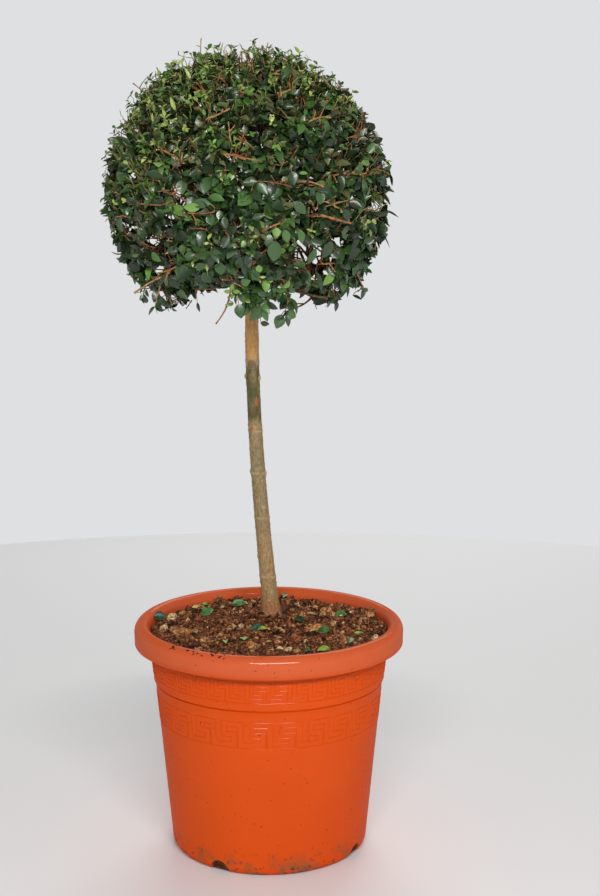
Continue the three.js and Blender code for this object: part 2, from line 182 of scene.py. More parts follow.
def orange_plastic(name, gloss):
    """Glossy orange plastic, a little cloudy, worn on the rim and paler there with a painted sheen, with mud splashes,
    crusts and specks.
    """
    finish, tree, shader = new_finish(name, PLASTIC_PALE, 0.3)
    shader.inputs["Specular IOR Level"].default_value = 0.0
    shader.inputs["Coat Weight"].default_value = gloss
    shader.inputs["Coat IOR"].default_value = 2.0
    shader.inputs["Coat Roughness"].default_value = 0.12
    cloud = add_range(tree, add_noise(tree, 9), 0.35, 0.65)
    body = add_mix(tree, cloud, PLASTIC_PALE, PLASTIC_DEEP)
    # Painted sheen with the wear: from just under the rim upwards the orange turns paler and duller
    rim_wear_and_sheen_share = add_range(tree, add_height(tree), 0.206, 0.213, 0.0, 0.42)
    worn_and_sheen = add_mix(tree, rim_wear_and_sheen_share, body, PLASTIC_WORN_SHEEN)
    splashes = add_range(tree, add_noise(tree, 60, 5), 0.48, 0.6)
    near_ground = add_range(tree, add_height(tree), 0.026, 0.006)
    muddy = add_mix(tree, add_product(tree, splashes, near_ground), worn_and_sheen, MUD)
    crusts = add_range(tree, add_noise(tree, 240, 4), 0.6, 0.66)
    low = add_range(tree, add_height(tree), 0.032, 0.01, 0.0, 0.85)
    crusted = add_mix(tree, add_product(tree, crusts, low), muddy, MUD_CRUST)
    specks = add_range(tree, add_noise(tree, 330, 1), 0.73, 0.77, 0.0, 0.8)
    tree.links.new(add_mix(tree, specks, crusted, MUD_SPECK), shader.inputs["Base Color"])
    add_bump(tree, shader, add_noise(tree, 150, 2), 0.4, 0.2)
    return finish


def arc(centre, size, first, last, count):
    """Points along part of an ellipse, from one angle to another in degrees."""
    angles = np.radians(np.linspace(first, last, count))
    return [(centre[0] + size[0] * math.cos(a), centre[1] + size[1] * math.sin(a)) for a in angles]


def rounded_corner(start, corner, end, count):
    """Points along a soft bend that leaves one line and joins another."""
    shares = np.linspace(0, 1, count)[:, None]
    start, corner, end = (np.array(point) for point in (start, corner, end))
    return [tuple(p) for p in (1 - shares) ** 2 * start + 2 * shares * (1 - shares) * corner + shares**2 * end]


def wall_radius(height):
    """Radius of the pot's outside at a height."""
    heights = [0, STEP_HEIGHT, STEP_HEIGHT + STEP_DEPTH, COLLAR_TOP[1]]
    return np.interp(height, heights, [FOOT_RADIUS, STEP_RADIUS, STEP_RADIUS + STEP_DEPTH, COLLAR_TOP[0]])


def pot_profile():
    """Half section of the pot, from the middle of its underside out, up, over the rim and down inside."""
    cavity = (ROLL_SIZE[0] - POT_WALL, ROLL_SIZE[1] - POT_WALL)
    lip = ROLL_CENTRE[0] + ROLL_SIZE[0]
    skirt = COLLAR_TOP[1]
    profile = [(0, 0), (40, 0), (70, 0)]
    profile += rounded_corner(*FOOT_CORNER, 9)
    profile += [(wall_radius(height), height) for height in np.linspace(14, STEP_HEIGHT - 2.2, 28)]
    groove = STEP_RADIUS - GROOVE_DEPTH
    profile += rounded_corner((groove + 1.4, 169.3), (groove, 169.8), (groove, 170.8), 3)
    profile += rounded_corner((groove, 171.1), (groove, 171.6), (groove + 1.0, 171.6), 3)
    profile += rounded_corner((114.1, 171.6), (114.5, 171.6), (114.4, 172.7), 4)
    profile += [(wall_radius(height), height) for height in np.linspace(174, skirt, 9)]
    profile += arc(ROLL_CENTRE, cavity, 180, 0, 13)
    profile += [(ROLL_CENTRE[0] + cavity[0], skirt + 0.7)]
    profile += rounded_corner((lip - 1.9, skirt + 0.2), (lip - 0.9, skirt - 0.3), (lip - 0.3, skirt + 0.9), 5)
    profile += arc(ROLL_CENTRE, ROLL_SIZE, -12, 180, 33)
    profile += [(float(wall_radius(height)) - POT_WALL, height) for height in np.linspace(skirt, 8, 12)]
    profile += [(float(wall_radius(POT_FLOOR)) - POT_WALL - 2, POT_FLOOR), (50, POT_FLOOR), (0, POT_FLOOR)]
    return profile


def turned(profile, sides):
    """A half section turned about the upright axis. Points on the axis stay single."""
    points, rings, faces = [], [], []
    angles = np.linspace(0, 2 * math.pi, sides, endpoint=False)
    for radius, height in profile:
        first = len(points)
        if radius == 0:
            points.append((0, 0, height))
            rings.append([first] * sides)
        else:
            points += [(radius * math.cos(a), radius * math.sin(a), height) for a in angles]
            rings.append(list(range(first, first + sides)))
    for lower, upper in zip(rings, rings[1:]):
        for one in range(sides):
            other = (one + 1) % sides
            corners = [lower[one], lower[other], upper[other], upper[one]]
            faces.append(tuple(dict.fromkeys(corners)))
    return points, faces


def foot_arch(index):
    """The round-topped block that one drainage arch takes out of the foot."""
    half = ARCH_WIDTH / 2
    crown = ARCH_HEIGHT - ARCH_STRAIGHT
    outline = [(half, -1), *arc((0, ARCH_STRAIGHT), (half, crown), 0, 180, 17), (-half, -1)]
    turn = math.radians(ARCH_FIRST_ANGLE + index * 360 / ARCH_COUNT)
    points = []
    for reach in (FOOT_RADIUS - ARCH_DEPTH / 2, FOOT_RADIUS + ARCH_DEPTH / 2):
        for aside, height in outline:
            along_x = reach * math.cos(turn) - aside * math.sin(turn)
            along_y = reach * math.sin(turn) + aside * math.cos(turn)
            points.append((along_x, along_y, height))
    count = len(outline)
    faces = [tuple(range(count - 1, -1, -1)), tuple(range(count, 2 * count))]
    for one in range(count):
        other = (one + 1) % count
        faces.append((one, other, other + count, one + count))
    return points, faces


def cut_away(piece, cutters):
    """Takes the cutters out of the piece, and removes them."""
    for cutter in cutters:
        cut = piece.modifiers.new("cut", "BOOLEAN")
        cut.object = cutter
        cut.operation = "DIFFERENCE"
        cut.solver = "EXACT"
    graph = bpy.context.evaluated_depsgraph_get()
    carved = bpy.data.meshes.new_from_object(piece.evaluated_get(graph))
    piece.modifiers.clear()
    piece.data = carved
    for cutter in cutters:
        bpy.data.objects.remove(cutter)


def loop_sides(line, length):
    """The direction square to a closed line at each of its points, longer at a corner so that strips mitre."""
    ahead = np.vstack([line[1:], line[:1] + (length, 0)]) - line
    ahead = np.column_stack([-ahead[:, 1], ahead[:, 0]]) / np.linalg.norm(ahead, axis=1)[:, None]
    behind = np.roll(ahead, 1, axis=0)
    together = ahead + behind
    return together / (1 + np.sum(ahead * behind, axis=1))[:, None]


def split_loop(line, length, step):
    """The same closed line with points close enough together to follow the round wall."""
    following = np.vstack([line[1:], line[:1] + (length, 0)])
    points = []
    for start, end in zip(line, following):
        parts = max(1, math.ceil(np.linalg.norm(end - start) / step))
        points += [start + (end - start) * part / parts for part in range(parts)]
    return np.array(points)


def meander_ribs(band):
    """The two raised lines on either side of a meander strip that runs all the way round."""
    row = band["row"]
    middle = wall_radius(band["foot"] + row * MEANDER_ROWS / 2)
    length = 2 * math.pi * middle
    pitch = length / band["units"]
    turns = np.array(MEANDER_TURNS)
    unit = np.column_stack([turns[:, 0] * pitch / MEANDER_REPEAT, turns[:, 1] * row])
    line = np.vstack([unit + (index * pitch, 0) for index in range(band["units"])])
    rise = [(0.5, -RIB_SUNK), (0.33, 0.57 * RIB_PROUD), (0.06, RIB_PROUD)]
    section = [(-share, proud) for share, proud in rise] + rise[::-1]
    points, faces = [], []
    for side in (-row / 2, row / 2):
        rib = split_loop(line + side * loop_sides(line, length), length, RIB_STEP)
        across = loop_sides(rib, length)
        first, count = len(points), len(section)
        for (along, height), (out_along, out_height) in zip(rib, across):
            for share, proud in section:
                up = height + band["foot"] + share * RIB_WIDTH * out_height
                turn = (along + share * RIB_WIDTH * out_along) / middle
                radius = wall_radius(up) + proud
                points.append((radius * math.cos(turn), radius * math.sin(turn), up))
        for index in range(len(rib)):
            following = (index + 1) % len(rib)
            for one in range(count):
                other = (one + 1) % count
                ring, next_ring = first + index * count, first + following * count
                faces.append((ring + one, ring + other, next_ring + other, next_ring + one))
    return points, faces


plastic = orange_plastic("orange_plastic", SHELL_GLOSS)
rib_plastic = orange_plastic("orange_ribs", RIB_GLOSS)
pot = make_piece("pot_shell", *turned(pot_profile(), POT_SIDES), [plastic])
cut_away(pot, [make_piece(f"arch_{index}", *foot_arch(index), [plastic]) for index in range(ARCH_COUNT)])
pot.data.set_sharp_from_angle(angle=math.radians(POT_CREASE))
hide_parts("pot")

for place, band in zip(("collar", "wall"), MEANDER_BANDS):
    meander = make_piece(f"meander_{place}", *meander_ribs(band), [rib_plastic], crease=RIB_CREASE)

# Compost
# Moist bark compost, dark and crumbly, with clods, splinters of bark, fine fibres and pale stones lying in it.
# It is filled in loosely to just under the rim, and a few crumbs have stuck to the rim in front.

COMPOST_TOP = 220.6
COMPOST_EDGE = 217.8
COMPOST_RADIUS = 116.8
COMPOST_WALL = [(114.9, 207), (112.0, 173), (110.3, 171), (94.2, 3.4)]
COMPOST_RINGS = 64
COMPOST_SIDES = 200
COMPOST_LUMP = 3.4
LUMP_SPACING = 21.0
GRAIN_LUMP = 1.3
GRAIN_SPACING = 5.5

CRUMB_COUNT = 5600
CLOD_COUNT = 300
CHIP_COUNT = 460
CHIP_CORNERS = 6
CHIP_CREASE = 30
STONE_COUNT = 14
FIBRE_COUNT = 1500
FIBRE_STEPS = 6
FIBRE_SIDES = 3
RIM_CRUMB_COUNT = 24
RIM_CRUMB_ARC = (-134, -106)  # degrees round the pot
LITTER_REACH = 112  # stones, fibres and splinters lie no further out than this
COMPOST_SEED = 21

# Stones and lumps of bark big enough to know again, as (x, y, size) in millimetres
PALE_STONES = [(-99, 26, 15), (-104, -7, 12), (-28, -7, 8), (104, -40, 12), (19, -87, 11), (28, 78, 8)]
TAN_LUMPS = [
    (-88, 42, 13), (-87, -22, 16), (-61, -54, 14), (-14, -71, 13), (-46, -40, 9), (58, 48, 14), (102, 42, 16),
    (96, 17, 15), (74, -54, 14), (-20, 81, 10), (-54, 101, 12), (46, -22, 14), (65, -95, 13),
]


def compost_height(x, y):
    """Height of the compost's loose surface."""
    radius = math.hypot(x, y)
    level = np.interp(radius, [62, COMPOST_RADIUS], [COMPOST_TOP, COMPOST_EDGE])
    lumps = noise.noise(Vector((x, y, 0)) / LUMP_SPACING) * COMPOST_LUMP
    grain = noise.noise(Vector((x, y, 40)) / GRAIN_SPACING) * GRAIN_LUMP
    return level + lumps + grain


def add_patches(tree, colour, darkest, lightest, cloud, span):
    """Colours the finish in dark and light patches of one colour."""
    dark, light = (tuple(share * part for part in colour) for share in (darkest, lightest))
    patches = add_range(tree, cloud, *span)
    tree.links.new(add_mix(tree, patches, dark, light), tree.nodes["Principled BSDF"].inputs["Base Color"])


def earth_finish(name, colour, roughness=0.9):
    """A dull, rough finish in light and dark patches of one colour."""
    finish, tree, shader = new_finish(name, colour, roughness)
    add_patches(tree, colour, 0.32, 1.75, add_noise(tree, 420, 3), (0.38, 0.62))
    shader.inputs["Specular IOR Level"].default_value = 0.15
    add_bump(tree, shader, add_noise(tree, 900, 4), 0.9, 0.7)
    return finish


def ball_template(splits):
    """Points and triangles of an evenly split ball of radius 1."""
    golden = (1 + math.sqrt(5)) / 2
    points = [(a, b * golden, 0) for a in (-1, 1) for b in (-1, 1)]
    points += [(0, a, b * golden) for a in (-1, 1) for b in (-1, 1)]
    points += [(b * golden, 0, a) for a in (-1, 1) for b in (-1, 1)]
    points = [np.array(p) / np.linalg.norm(p) for p in points]
    edge = min(np.linalg.norm(points[0] - p) for p in points[1:]) * 1.01

    def near(a, b):
        return np.linalg.norm(points[a] - points[b]) < edge

    faces = []
    for a in range(12):
        for b in range(a + 1, 12):
            for c in range(b + 1, 12):
                if near(a, b) and near(b, c) and near(a, c):
                    turn = np.dot(np.cross(points[b] - points[a], points[c] - points[a]), points[a])
                    faces.append((a, b, c) if turn > 0 else (a, c, b))
    for _ in range(splits):
        middles, smaller = {}, []
        for corners in faces:
            mids = []
            for one, other in zip(corners, corners[1:] + corners[:1]):
                key = (min(one, other), max(one, other))
                if key not in middles:
                    middle = points[one] + points[other]
                    middles[key] = len(points)
                    points.append(middle / np.linalg.norm(middle))
                mids.append(middles[key])
            a, b, c = corners
            ab, bc, ca = mids
            smaller += [(a, ab, ca), (b, bc, ab), (c, ca, bc), (ab, bc, ca)]
        faces = smaller
    return np.array(points), np.array(faces)


def random_turns(rng, count):
    """Rotation matrices that turn things every way."""
    w, x, y, z = rng.normal(size=(4, count))
    size = np.sqrt(w * w + x * x + y * y + z * z)
    w, x, y, z = w / size, x / size, y / size, z / size
    rows = [
        [1 - 2 * (y * y + z * z), 2 * (x * y - z * w), 2 * (x * z + y * w)],
        [2 * (x * y + z * w), 1 - 2 * (x * x + z * z), 2 * (y * z - x * w)],
        [2 * (x * z - y * w), 2 * (y * z + x * w), 1 - 2 * (x * x + y * y)],
    ]
    return np.array(rows).transpose(2, 0, 1)


def broken_lumps(ball, sizes, places, roughen, rng):
    """Many lumps in one mesh, each with its own turn, size and unevenness."""
    corners, triangles = ball
    count = len(places)
    turns = random_turns(rng, count)
    uneven = 1 + roughen * rng.uniform(-1, 1, (count, len(corners), 1))
    points = np.einsum("nij,nkj->nki", turns, corners[None] * uneven * sizes[:, None, :]) + places[:, None, :]
    shift = np.arange(count)[:, None, None] * len(corners)
    return points.reshape(-1, 3), (triangles[None] + shift).reshape(-1, 3).tolist()


def laid_on_compost(flat, above=0.0):
    """Places on the compost's surface, or a little above it, from flat ones."""
    return np.column_stack([flat, [compost_height(x, y) + above for x, y in flat]])


def scattered(rng, count, reach):
    """Flat places spread evenly over the compost."""
    radius = reach * np.sqrt(rng.uniform(0, 1, count))
    turn = rng.uniform(0, 2 * math.pi, count)
    return np.column_stack([radius * np.cos(turn), radius * np.sin(turn)])


def litter_piece(name, points, faces, finishes, shade, crease=None):
    """Many loose things in one piece, each in a shade of its own."""
    piece = make_piece(name, points, faces, finishes, np.repeat(shade, len(faces) // len(shade)), crease)


def compost_bed():
    """The loose surface in rings, and the sides and flat bottom that the pot holds."""
    points = [(0, 0, compost_height(0, 0))]
    angles = np.linspace(0, 2 * math.pi, COMPOST_SIDES, endpoint=False)
    for radius in np.linspace(0, COMPOST_RADIUS, COMPOST_RINGS + 1)[1:]:
        for a in angles:
            x, y = radius * math.cos(a), radius * math.sin(a)
            points.append((x, y, compost_height(x, y)))
    for radius, height in COMPOST_WALL:
        points += [(radius * math.cos(a), radius * math.sin(a), height) for a in angles]
    rings = COMPOST_RINGS + len(COMPOST_WALL)
    faces = []
    for one in range(COMPOST_SIDES):
        other = (one + 1) % COMPOST_SIDES
        faces.append((0, 1 + one, 1 + other))
        for ring in range(rings - 1):
            near, far = 1 + ring * COMPOST_SIDES, 1 + (ring + 1) * COMPOST_SIDES
            faces.append((near + one, far + one, far + other, near + other))
    last = 1 + (rings - 1) * COMPOST_SIDES
    faces.append(tuple(range(last + COMPOST_SIDES - 1, last - 1, -1)))
    return points, faces


EARTH = [
    earth_finish("compost_black", (0.052, 0.019, 0.009)),
    earth_finish("compost_brown", (0.14, 0.048, 0.019)),
    earth_finish("compost_red_brown", (0.25, 0.083, 0.029)),
    earth_finish("compost_tan", (0.46, 0.24, 0.1)),
]
STONE = [earth_finish("stone_beige", (0.55, 0.38, 0.2), 0.8), earth_finish("stone_tan", (0.38, 0.2, 0.09), 0.8)]
CHIP = [
    earth_finish("chip_orange", (0.42, 0.17, 0.06), 0.8),
    earth_finish("chip_tan", (0.4, 0.2, 0.085), 0.8),
    earth_finish("chip_brown", (0.2, 0.078, 0.03), 0.85),
]

compost = make_piece("compost_bed", *compost_bed(), [EARTH[1]])
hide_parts("compost")

rng = np.random.default_rng(COMPOST_SEED)
noise.seed_set(COMPOST_SEED)  # without it the lumps and fallen leaves are shaped anew at each run
coarse_ball, fine_ball, finest_ball = (ball_template(splits) for splits in range(3))

sizes = rng.gamma(3.0, 0.36, (CRUMB_COUNT, 1)).clip(0.4, 2.6) * rng.uniform(0.4, 1.6, (CRUMB_COUNT, 3))
places = laid_on_compost(scattered(rng, CRUMB_COUNT, COMPOST_RADIUS - 2))
places[:, 2] += 0.5 * sizes[:, 2]
points, faces = broken_lumps(coarse_ball, sizes, places, 0.5, rng)
litter_piece("compost_crumbs", points, faces, EARTH, rng.choice(4, CRUMB_COUNT, p=[0.32, 0.33, 0.26, 0.09]))

sizes = rng.uniform(1.6, 4.2, (CLOD_COUNT, 1)) * rng.uniform(0.5, 1.4, (CLOD_COUNT, 3))
places = laid_on_compost(scattered(rng, CLOD_COUNT, COMPOST_RADIUS - 5))
points, faces = broken_lumps(fine_ball, sizes, places, 0.36, rng)
litter_piece("compost_clods", points, faces, EARTH, rng.choice(4, CLOD_COUNT, p=[0.3, 0.38, 0.28, 0.04]))

known = np.array(PALE_STONES, float)
places = laid_on_compost(np.vstack([known[:, :2], scattered(rng, STONE_COUNT, LITTER_REACH)]), 1.2)
across = np.concatenate([known[:, 2] / 2, rng.uniform(1.5, 3.6, STONE_COUNT)])
sizes = across[:, None] * rng.uniform((0.85, 0.7, 0.55), (1.1, 1.0, 0.8), (len(across), 3))
points, faces = broken_lumps(fine_ball, sizes, places, 0.24, rng)
litter_piece("compost_stones", points, faces, STONE, np.r_[np.zeros(len(known), int), rng.integers(0, 2, STONE_COUNT)])


def chip_shapes(rng, across, places):
    """Flat splinters of bark: a ragged six-sided plate, tilted a little as it lies."""
    count, corners = len(across), CHIP_CORNERS
    angles = np.linspace(0, 2 * math.pi, corners, endpoint=False) + rng.uniform(-0.3, 0.3, (count, corners))
    reach = across[:, None] / 2 * rng.uniform(0.6, 1.05, (count, corners))
    slim = rng.uniform(0.25, 0.8, (count, 1))
    thick = rng.uniform(0.5, 1.3, (count, 1))
    rings = []
    for share, height in ((1.0, -1.0), (1.0, 0.4), (0.82, 1.0)):
        x, y = share * reach * np.cos(angles), share * reach * slim * np.sin(angles)
        z = height * thick + rng.uniform(-0.25, 0.25, (count, corners))
        rings.append(np.stack([x, y, z], axis=2))
    shapes = np.concatenate(rings, axis=1)
    spin, lean = rng.uniform(0, 2 * math.pi, count), rng.normal(0, 0.3, count)
    upright = np.array([[np.cos(spin), -np.sin(spin), 0 * spin], [np.sin(spin), np.cos(spin), 0 * spin],
                        [0 * spin, 0 * spin, 1 + 0 * spin]]).transpose(2, 0, 1)
    tilt = np.array([[1 + 0 * lean, 0 * lean, 0 * lean], [0 * lean, np.cos(lean), -np.sin(lean)],
                     [0 * lean, np.sin(lean), np.cos(lean)]]).transpose(2, 0, 1)
    shapes = np.einsum("nij,njk,nlk->nli", upright, tilt, shapes) + places[:, None, :]
    plate = [tuple(range(corners - 1, -1, -1)), tuple(range(2 * corners, 3 * corners))]
    for ring in range(2):
        for one in range(corners):
            other = (one + 1) % corners
            plate.append((ring * corners + one, ring * corners + other,
                          (ring + 1) * corners + other, (ring + 1) * corners + one))
    faces = [tuple(corner + 3 * corners * index for corner in face) for index in range(count) for face in plate]
    return shapes.reshape(-1, 3), faces


# Each lump that is big enough to know again is three broken pieces lying against each other
lumps = np.repeat(np.array(TAN_LUMPS, float), 3, axis=0)
lumps[:, :2] += rng.normal(0, 0.16, (len(lumps), 2)) * lumps[:, 2:]
sizes = lumps[:, 2:] * rng.uniform((0.3, 0.24, 0.2), (0.52, 0.42, 0.34), (len(lumps), 3))
points, faces = broken_lumps(finest_ball, sizes, laid_on_compost(lumps[:, :2], 1.5), 0.17, rng)
points += [1.3 * noise.noise_vector(Vector(point) / 2.5) for point in points]
litter_piece("bark_lumps", points, faces, CHIP, rng.choice([0, 0, 1, 2], len(lumps)))

places = laid_on_compost(scattered(rng, CHIP_COUNT, LITTER_REACH + 1), 1.4)
points, faces = chip_shapes(rng, rng.uniform(2.5, 9, CHIP_COUNT), places)
litter_piece("bark_chips", points, faces, CHIP, rng.choice(3, CHIP_COUNT, p=[0.2, 0.2, 0.6]), CHIP_CREASE)


def tubes(paths, radii, sides):
    """Round limbs along many paths at once, with a flat end at both sides. The end faces come last."""
    count, steps, _ = paths.shape
    along = np.gradient(paths, axis=1)
    along /= np.linalg.norm(along, axis=2)[:, :, None]
    whole = paths[:, -1] - paths[:, 0]
    steep = np.abs(whole[:, 2]) > 0.8 * np.linalg.norm(whole, axis=1)
    away = np.where(steep[:, None], (0.0, 1.0, 0.0), (0.0, 0.0, 1.0))
    across = np.cross(along, away[:, None, :])
    across /= np.linalg.norm(across, axis=2)[:, :, None]
    upwards = np.cross(across, along)
    angles = np.linspace(0, 2 * math.pi, sides, endpoint=False)
    ring = np.cos(angles)[:, None] * across[:, :, None] + np.sin(angles)[:, None] * upwards[:, :, None]
    points = paths[:, :, None] + ring * radii[:, :, None, None]
    index = np.arange(count * steps * sides).reshape(count, steps, sides)
    near, far = index[:, :-1], index[:, 1:]
    walls = np.stack([near, far, np.roll(far, -1, axis=2), np.roll(near, -1, axis=2)], axis=-1)
    foot, tip = index[:, 0], index[:, -1, ::-1]
    faces = walls.reshape(-1, 4).tolist() + foot.tolist() + tip.tolist()
    return points.reshape(-1, 3), faces


places = laid_on_compost(scattered(rng, FIBRE_COUNT, LITTER_REACH))
turn = rng.uniform(0, 2 * math.pi, FIBRE_COUNT)
reach = rng.gamma(2.5, 2.4, FIBRE_COUNT).clip(2, 17)
steps = np.linspace(-0.5, 0.5, FIBRE_STEPS)
heading = np.column_stack([np.cos(turn), np.sin(turn), rng.normal(0, 0.25, FIBRE_COUNT)])
aside = np.column_stack([-np.sin(turn), np.cos(turn), np.zeros(FIBRE_COUNT)])
curl = rng.normal(0, 0.35, (FIBRE_COUNT, 1, 1)) * (steps**2)[None, :, None]
bent = heading[:, None] * steps[None, :, None] + aside[:, None] * curl
paths = places[:, None] + (0, 0, 1.8) + reach[:, None, None] * bent
radii = np.repeat(rng.uniform(0.14, 0.36, (FIBRE_COUNT, 1)), FIBRE_STEPS, axis=1)
points, faces = tubes(paths, radii, FIBRE_SIDES)
shade = rng.choice(4, FIBRE_COUNT, p=[0.1, 0.2, 0.4, 0.3])
shade = np.r_[np.repeat(shade, (FIBRE_STEPS - 1) * FIBRE_SIDES), shade, shade]
fibres = make_piece("compost_fibres", points, faces, EARTH, shade)

turn = np.radians(rng.uniform(*RIM_CRUMB_ARC, RIM_CRUMB_COUNT))
round_roll = np.radians(rng.uniform(45, 125, RIM_CRUMB_COUNT))
reach = ROLL_CENTRE[0] + ROLL_SIZE[0] * np.cos(round_roll)
height = ROLL_CENTRE[1] + ROLL_SIZE[1] * np.sin(round_roll)
places = np.column_stack([reach * np.cos(turn), reach * np.sin(turn), height])
points, faces = broken_lumps(coarse_ball, rng.uniform(0.4, 1.5, (RIM_CRUMB_COUNT, 3)), places, 0.3, rng)
litter_piece("rim_crumbs", points, faces, [earth_finish("rim_dirt", (0.02, 0.01, 0.006))], [0])

# Fallen leaves
# Small leathery leaves that the shears cut off, some of them days ago: green on top, or gone yellow and tan.
# They lie on the compost as they fell, each a little folded along its midrib and bent back at the tip.

# Leaves to know again, as (x, y, length) in millimetres
GREEN_LEAVES = [
    (-64, 39, 18), (-32, 65, 16), (15, 105, 12), (72, 29, 14), (30, 11, 13), (-12, -22, 14), (7, -34, 17),
    (54, -31, 15), (38, -92, 11), (53, -92, 14), (-23, -57, 12), (-71, -32, 9), (-110, 23, 15), (78, -60, 13),
]
PALE_LEAVES = [(-67, 71, 9), (-49, 65, 13), (41, 36, 15), (-6, -31, 11), (46, -25, 13), (-40, -66, 12), (88, -30, 10)]
EXTRA_FALLEN = 9

LEAF_ROWS = [0.0, 0.12, 0.3, 0.5, 0.72, 0.9, 1.0]  # shares of the length
LEAF_WIDTHS = [0.0, 0.52, 0.9, 1.0, 0.76, 0.34, 0.0]  # shares of the half width
LEAF_FACES = 4 * len(LEAF_ROWS) - 8


def leaves(bases, headings, tops, lengths, half_widths, fold, bend):
    """Leaves in one mesh: a stalk end, rows across the blade and a tip. Fold lifts the edges, bend drops the tip."""
    count = len(bases)
    headings = headings / np.linalg.norm(headings, axis=1)[:, None]
    sides = np.cross(headings, tops)
    sides /= np.linalg.norm(sides, axis=1)[:, None]
    tops = np.cross(sides, headings)
    template = [(0.0, 0.0, 0.0)]
    for share, width in zip(LEAF_ROWS[1:-1], LEAF_WIDTHS[1:-1]):
        template += [(share, -width, width), (share, 0.0, 0.0), (share, width, width)]
    template.append((1.0, 0.0, 0.0))
    along, aside, edge = np.array(template).T
    rise = fold[:, None] * edge * half_widths[:, None] - bend[:, None] * along**2 * lengths[:, None]
    points = (
        bases[:, None]
        + headings[:, None] * (along * lengths[:, None])[:, :, None]
        + sides[:, None] * (aside * half_widths[:, None])[:, :, None]
        + tops[:, None] * rise[:, :, None]
    )
    blade = [(0, 2, 1), (0, 3, 2)]
    for left in range(1, len(template) - 4, 3):
        mid, right = left + 1, left + 2
        blade += [(left, mid, mid + 3), (left, mid + 3, left + 3), (mid, right, right + 3), (mid, right + 3, mid + 3)]
    tip = len(template) - 1
    blade += [(tip - 3, tip - 2, tip), (tip - 2, tip - 1, tip)]
    shift = np.arange(count)[:, None, None] * len(template)
    return points.reshape(-1, 3), (np.array(blade)[None] + shift).reshape(-1, 3)


def leaf_finish(name, colour, roughness, coat):
    """A leathery leaf's skin under a thin wax gloss."""
    finish, tree, shader = new_finish(name, colour, roughness)
    shader.inputs["Coat Weight"].default_value = coat
    shader.inputs["Coat Roughness"].default_value = 0.17
    add_bump(tree, shader, add_noise(tree, 260, 2), 0.5, 0.6)
    return finish


def fallen_finish(name, colour, roughness, coat):
    """A leaf that has lain for days, in uneven patches of light and dark."""
    finish = leaf_finish(name, colour, roughness, coat)
    add_patches(finish.node_tree, colour, 0.5, 1.35, add_noise(finish.node_tree, 170, 3), (0.38, 0.62))
    return finish


FALLEN = [
    fallen_finish("fallen_green", (0.06, 0.17, 0.03), 0.45, 0.08),
    fallen_finish("fallen_dark", (0.016, 0.06, 0.02), 0.45, 0.08),
    fallen_finish("fallen_lime", (0.24, 0.35, 0.04), 0.45, 0.08),
    fallen_finish("fallen_yellow", (0.48, 0.33, 0.09), 0.55, 0.05),
    fallen_finish("fallen_dry", (0.52, 0.37, 0.2), 0.7, 0.0),
]

known = np.array(GREEN_LEAVES + PALE_LEAVES, float)
places = laid_on_compost(np.vstack([known[:, :2], scattered(rng, EXTRA_FALLEN, LITTER_REACH - 4)]), 5.0)
count = len(places)
lengths = np.concatenate([known[:, 2], rng.uniform(5, 9, EXTRA_FALLEN)]) * 0.95
green_slim = rng.uniform(0.26, 0.36, len(GREEN_LEAVES))
slim = np.concatenate([green_slim, rng.uniform(0.14, 0.24, len(PALE_LEAVES) + EXTRA_FALLEN)])
turn = rng.uniform(0, 2 * math.pi, count)
headings = np.column_stack([np.cos(turn), 0.7 * np.sin(turn), rng.normal(0.05, 0.15, count)])
tops = np.column_stack([rng.normal(0, 0.25, count), rng.normal(-0.7, 0.35, count), np.ones(count)])
bases = places - headings * lengths[:, None] / 2
points, faces = leaves(bases, headings, tops, lengths, lengths * slim,
                       rng.uniform(0.3, 0.95, count), rng.uniform(0.02, 0.3, count))
points += [0.45 * noise.noise_vector(Vector(point) / 3.5) for point in points]
shade = np.r_[rng.choice(3, len(GREEN_LEAVES), p=[0.5, 0.3, 0.2]), rng.choice([2, 3, 4], len(PALE_LEAVES)),
              rng.integers(0, len(FALLEN), EXTRA_FALLEN)]
fallen = make_piece("fallen_leaves", points, faces.tolist(), FALLEN, np.repeat(shade, LEAF_FACES))

# Stem and boughs
# One woody stem, bare since its side shoots were rubbed off, and the six short boughs that carry the head.
# The bark is thin and olive, orange brown near the top, with a ring or a knuckle at each old joint.

STEM_FOOT = np.array([2.0, 40.0, 221.5])
STEM_LENGTH = 378.5
STEM_LEAN = 18.8
STEM_UPRIGHT_SHARE = 0.8
STEM_FOOT_RADIUS = 8.4
STEM_TIP_RADIUS = 4.4
STEM_TAPER = 0.55
STEM_FLARE = 2.6
STEM_FLARE_HEIGHT = 12
STEM_SIDES = 72
STEM_RING_GAP = 0.9
STEM_SUNK = 4  # the mesh goes this far down into the loose compost
# Thickness of the bark's mesh by height, as a share of the solid's
BARK_FITS = [(221, 0.96), (425, 0.95), (475, 1.0), (500, 1.07), (600, 1.07)]
RING_WIDTH = 0.9

# Old joints of the stem, as (height, swelling, length, ring) in millimetres
JOINTS = [
    (262, 0.15, 3, 0.3), (284, 0.25, 5, 0.0), (323, 0.1, 4, 0.36), (369, 0.55, 4, 0.25),
    (411, 0.15, 3, 0.3), (416, 0.15, 3, 0.3), (465, 0.45, 4, 0.0), (480, 0.2, 4, 0.05), (548, 0.5, 5, 0.05),
]
# Scars where side shoots were rubbed off, as (height, angle, height of the scar, width, how proud)
SCARS = [
    (464, -25, 7, 5, 1.5), (466, 190, 6, 5, 1.4), (441, -62, 11, 4, 0.4), (415, -115, 6, 4, 0.4),
    (479, -95, 9, 9, 0.3), (334, -70, 5, 5, 0.6), (368, -15, 7, 5, 0.9), (370, 175, 7, 5, 0.8),
    (300, -20, 5, 4, 0.7), (316, 5, 4, 4, 0.5), (283, 185, 6, 5, 0.7), (545, -100, 8, 6, 0.5),
]
ORANGE_SCARS, DARK_SCARS = (2, 3), (4,)  # the others are pale

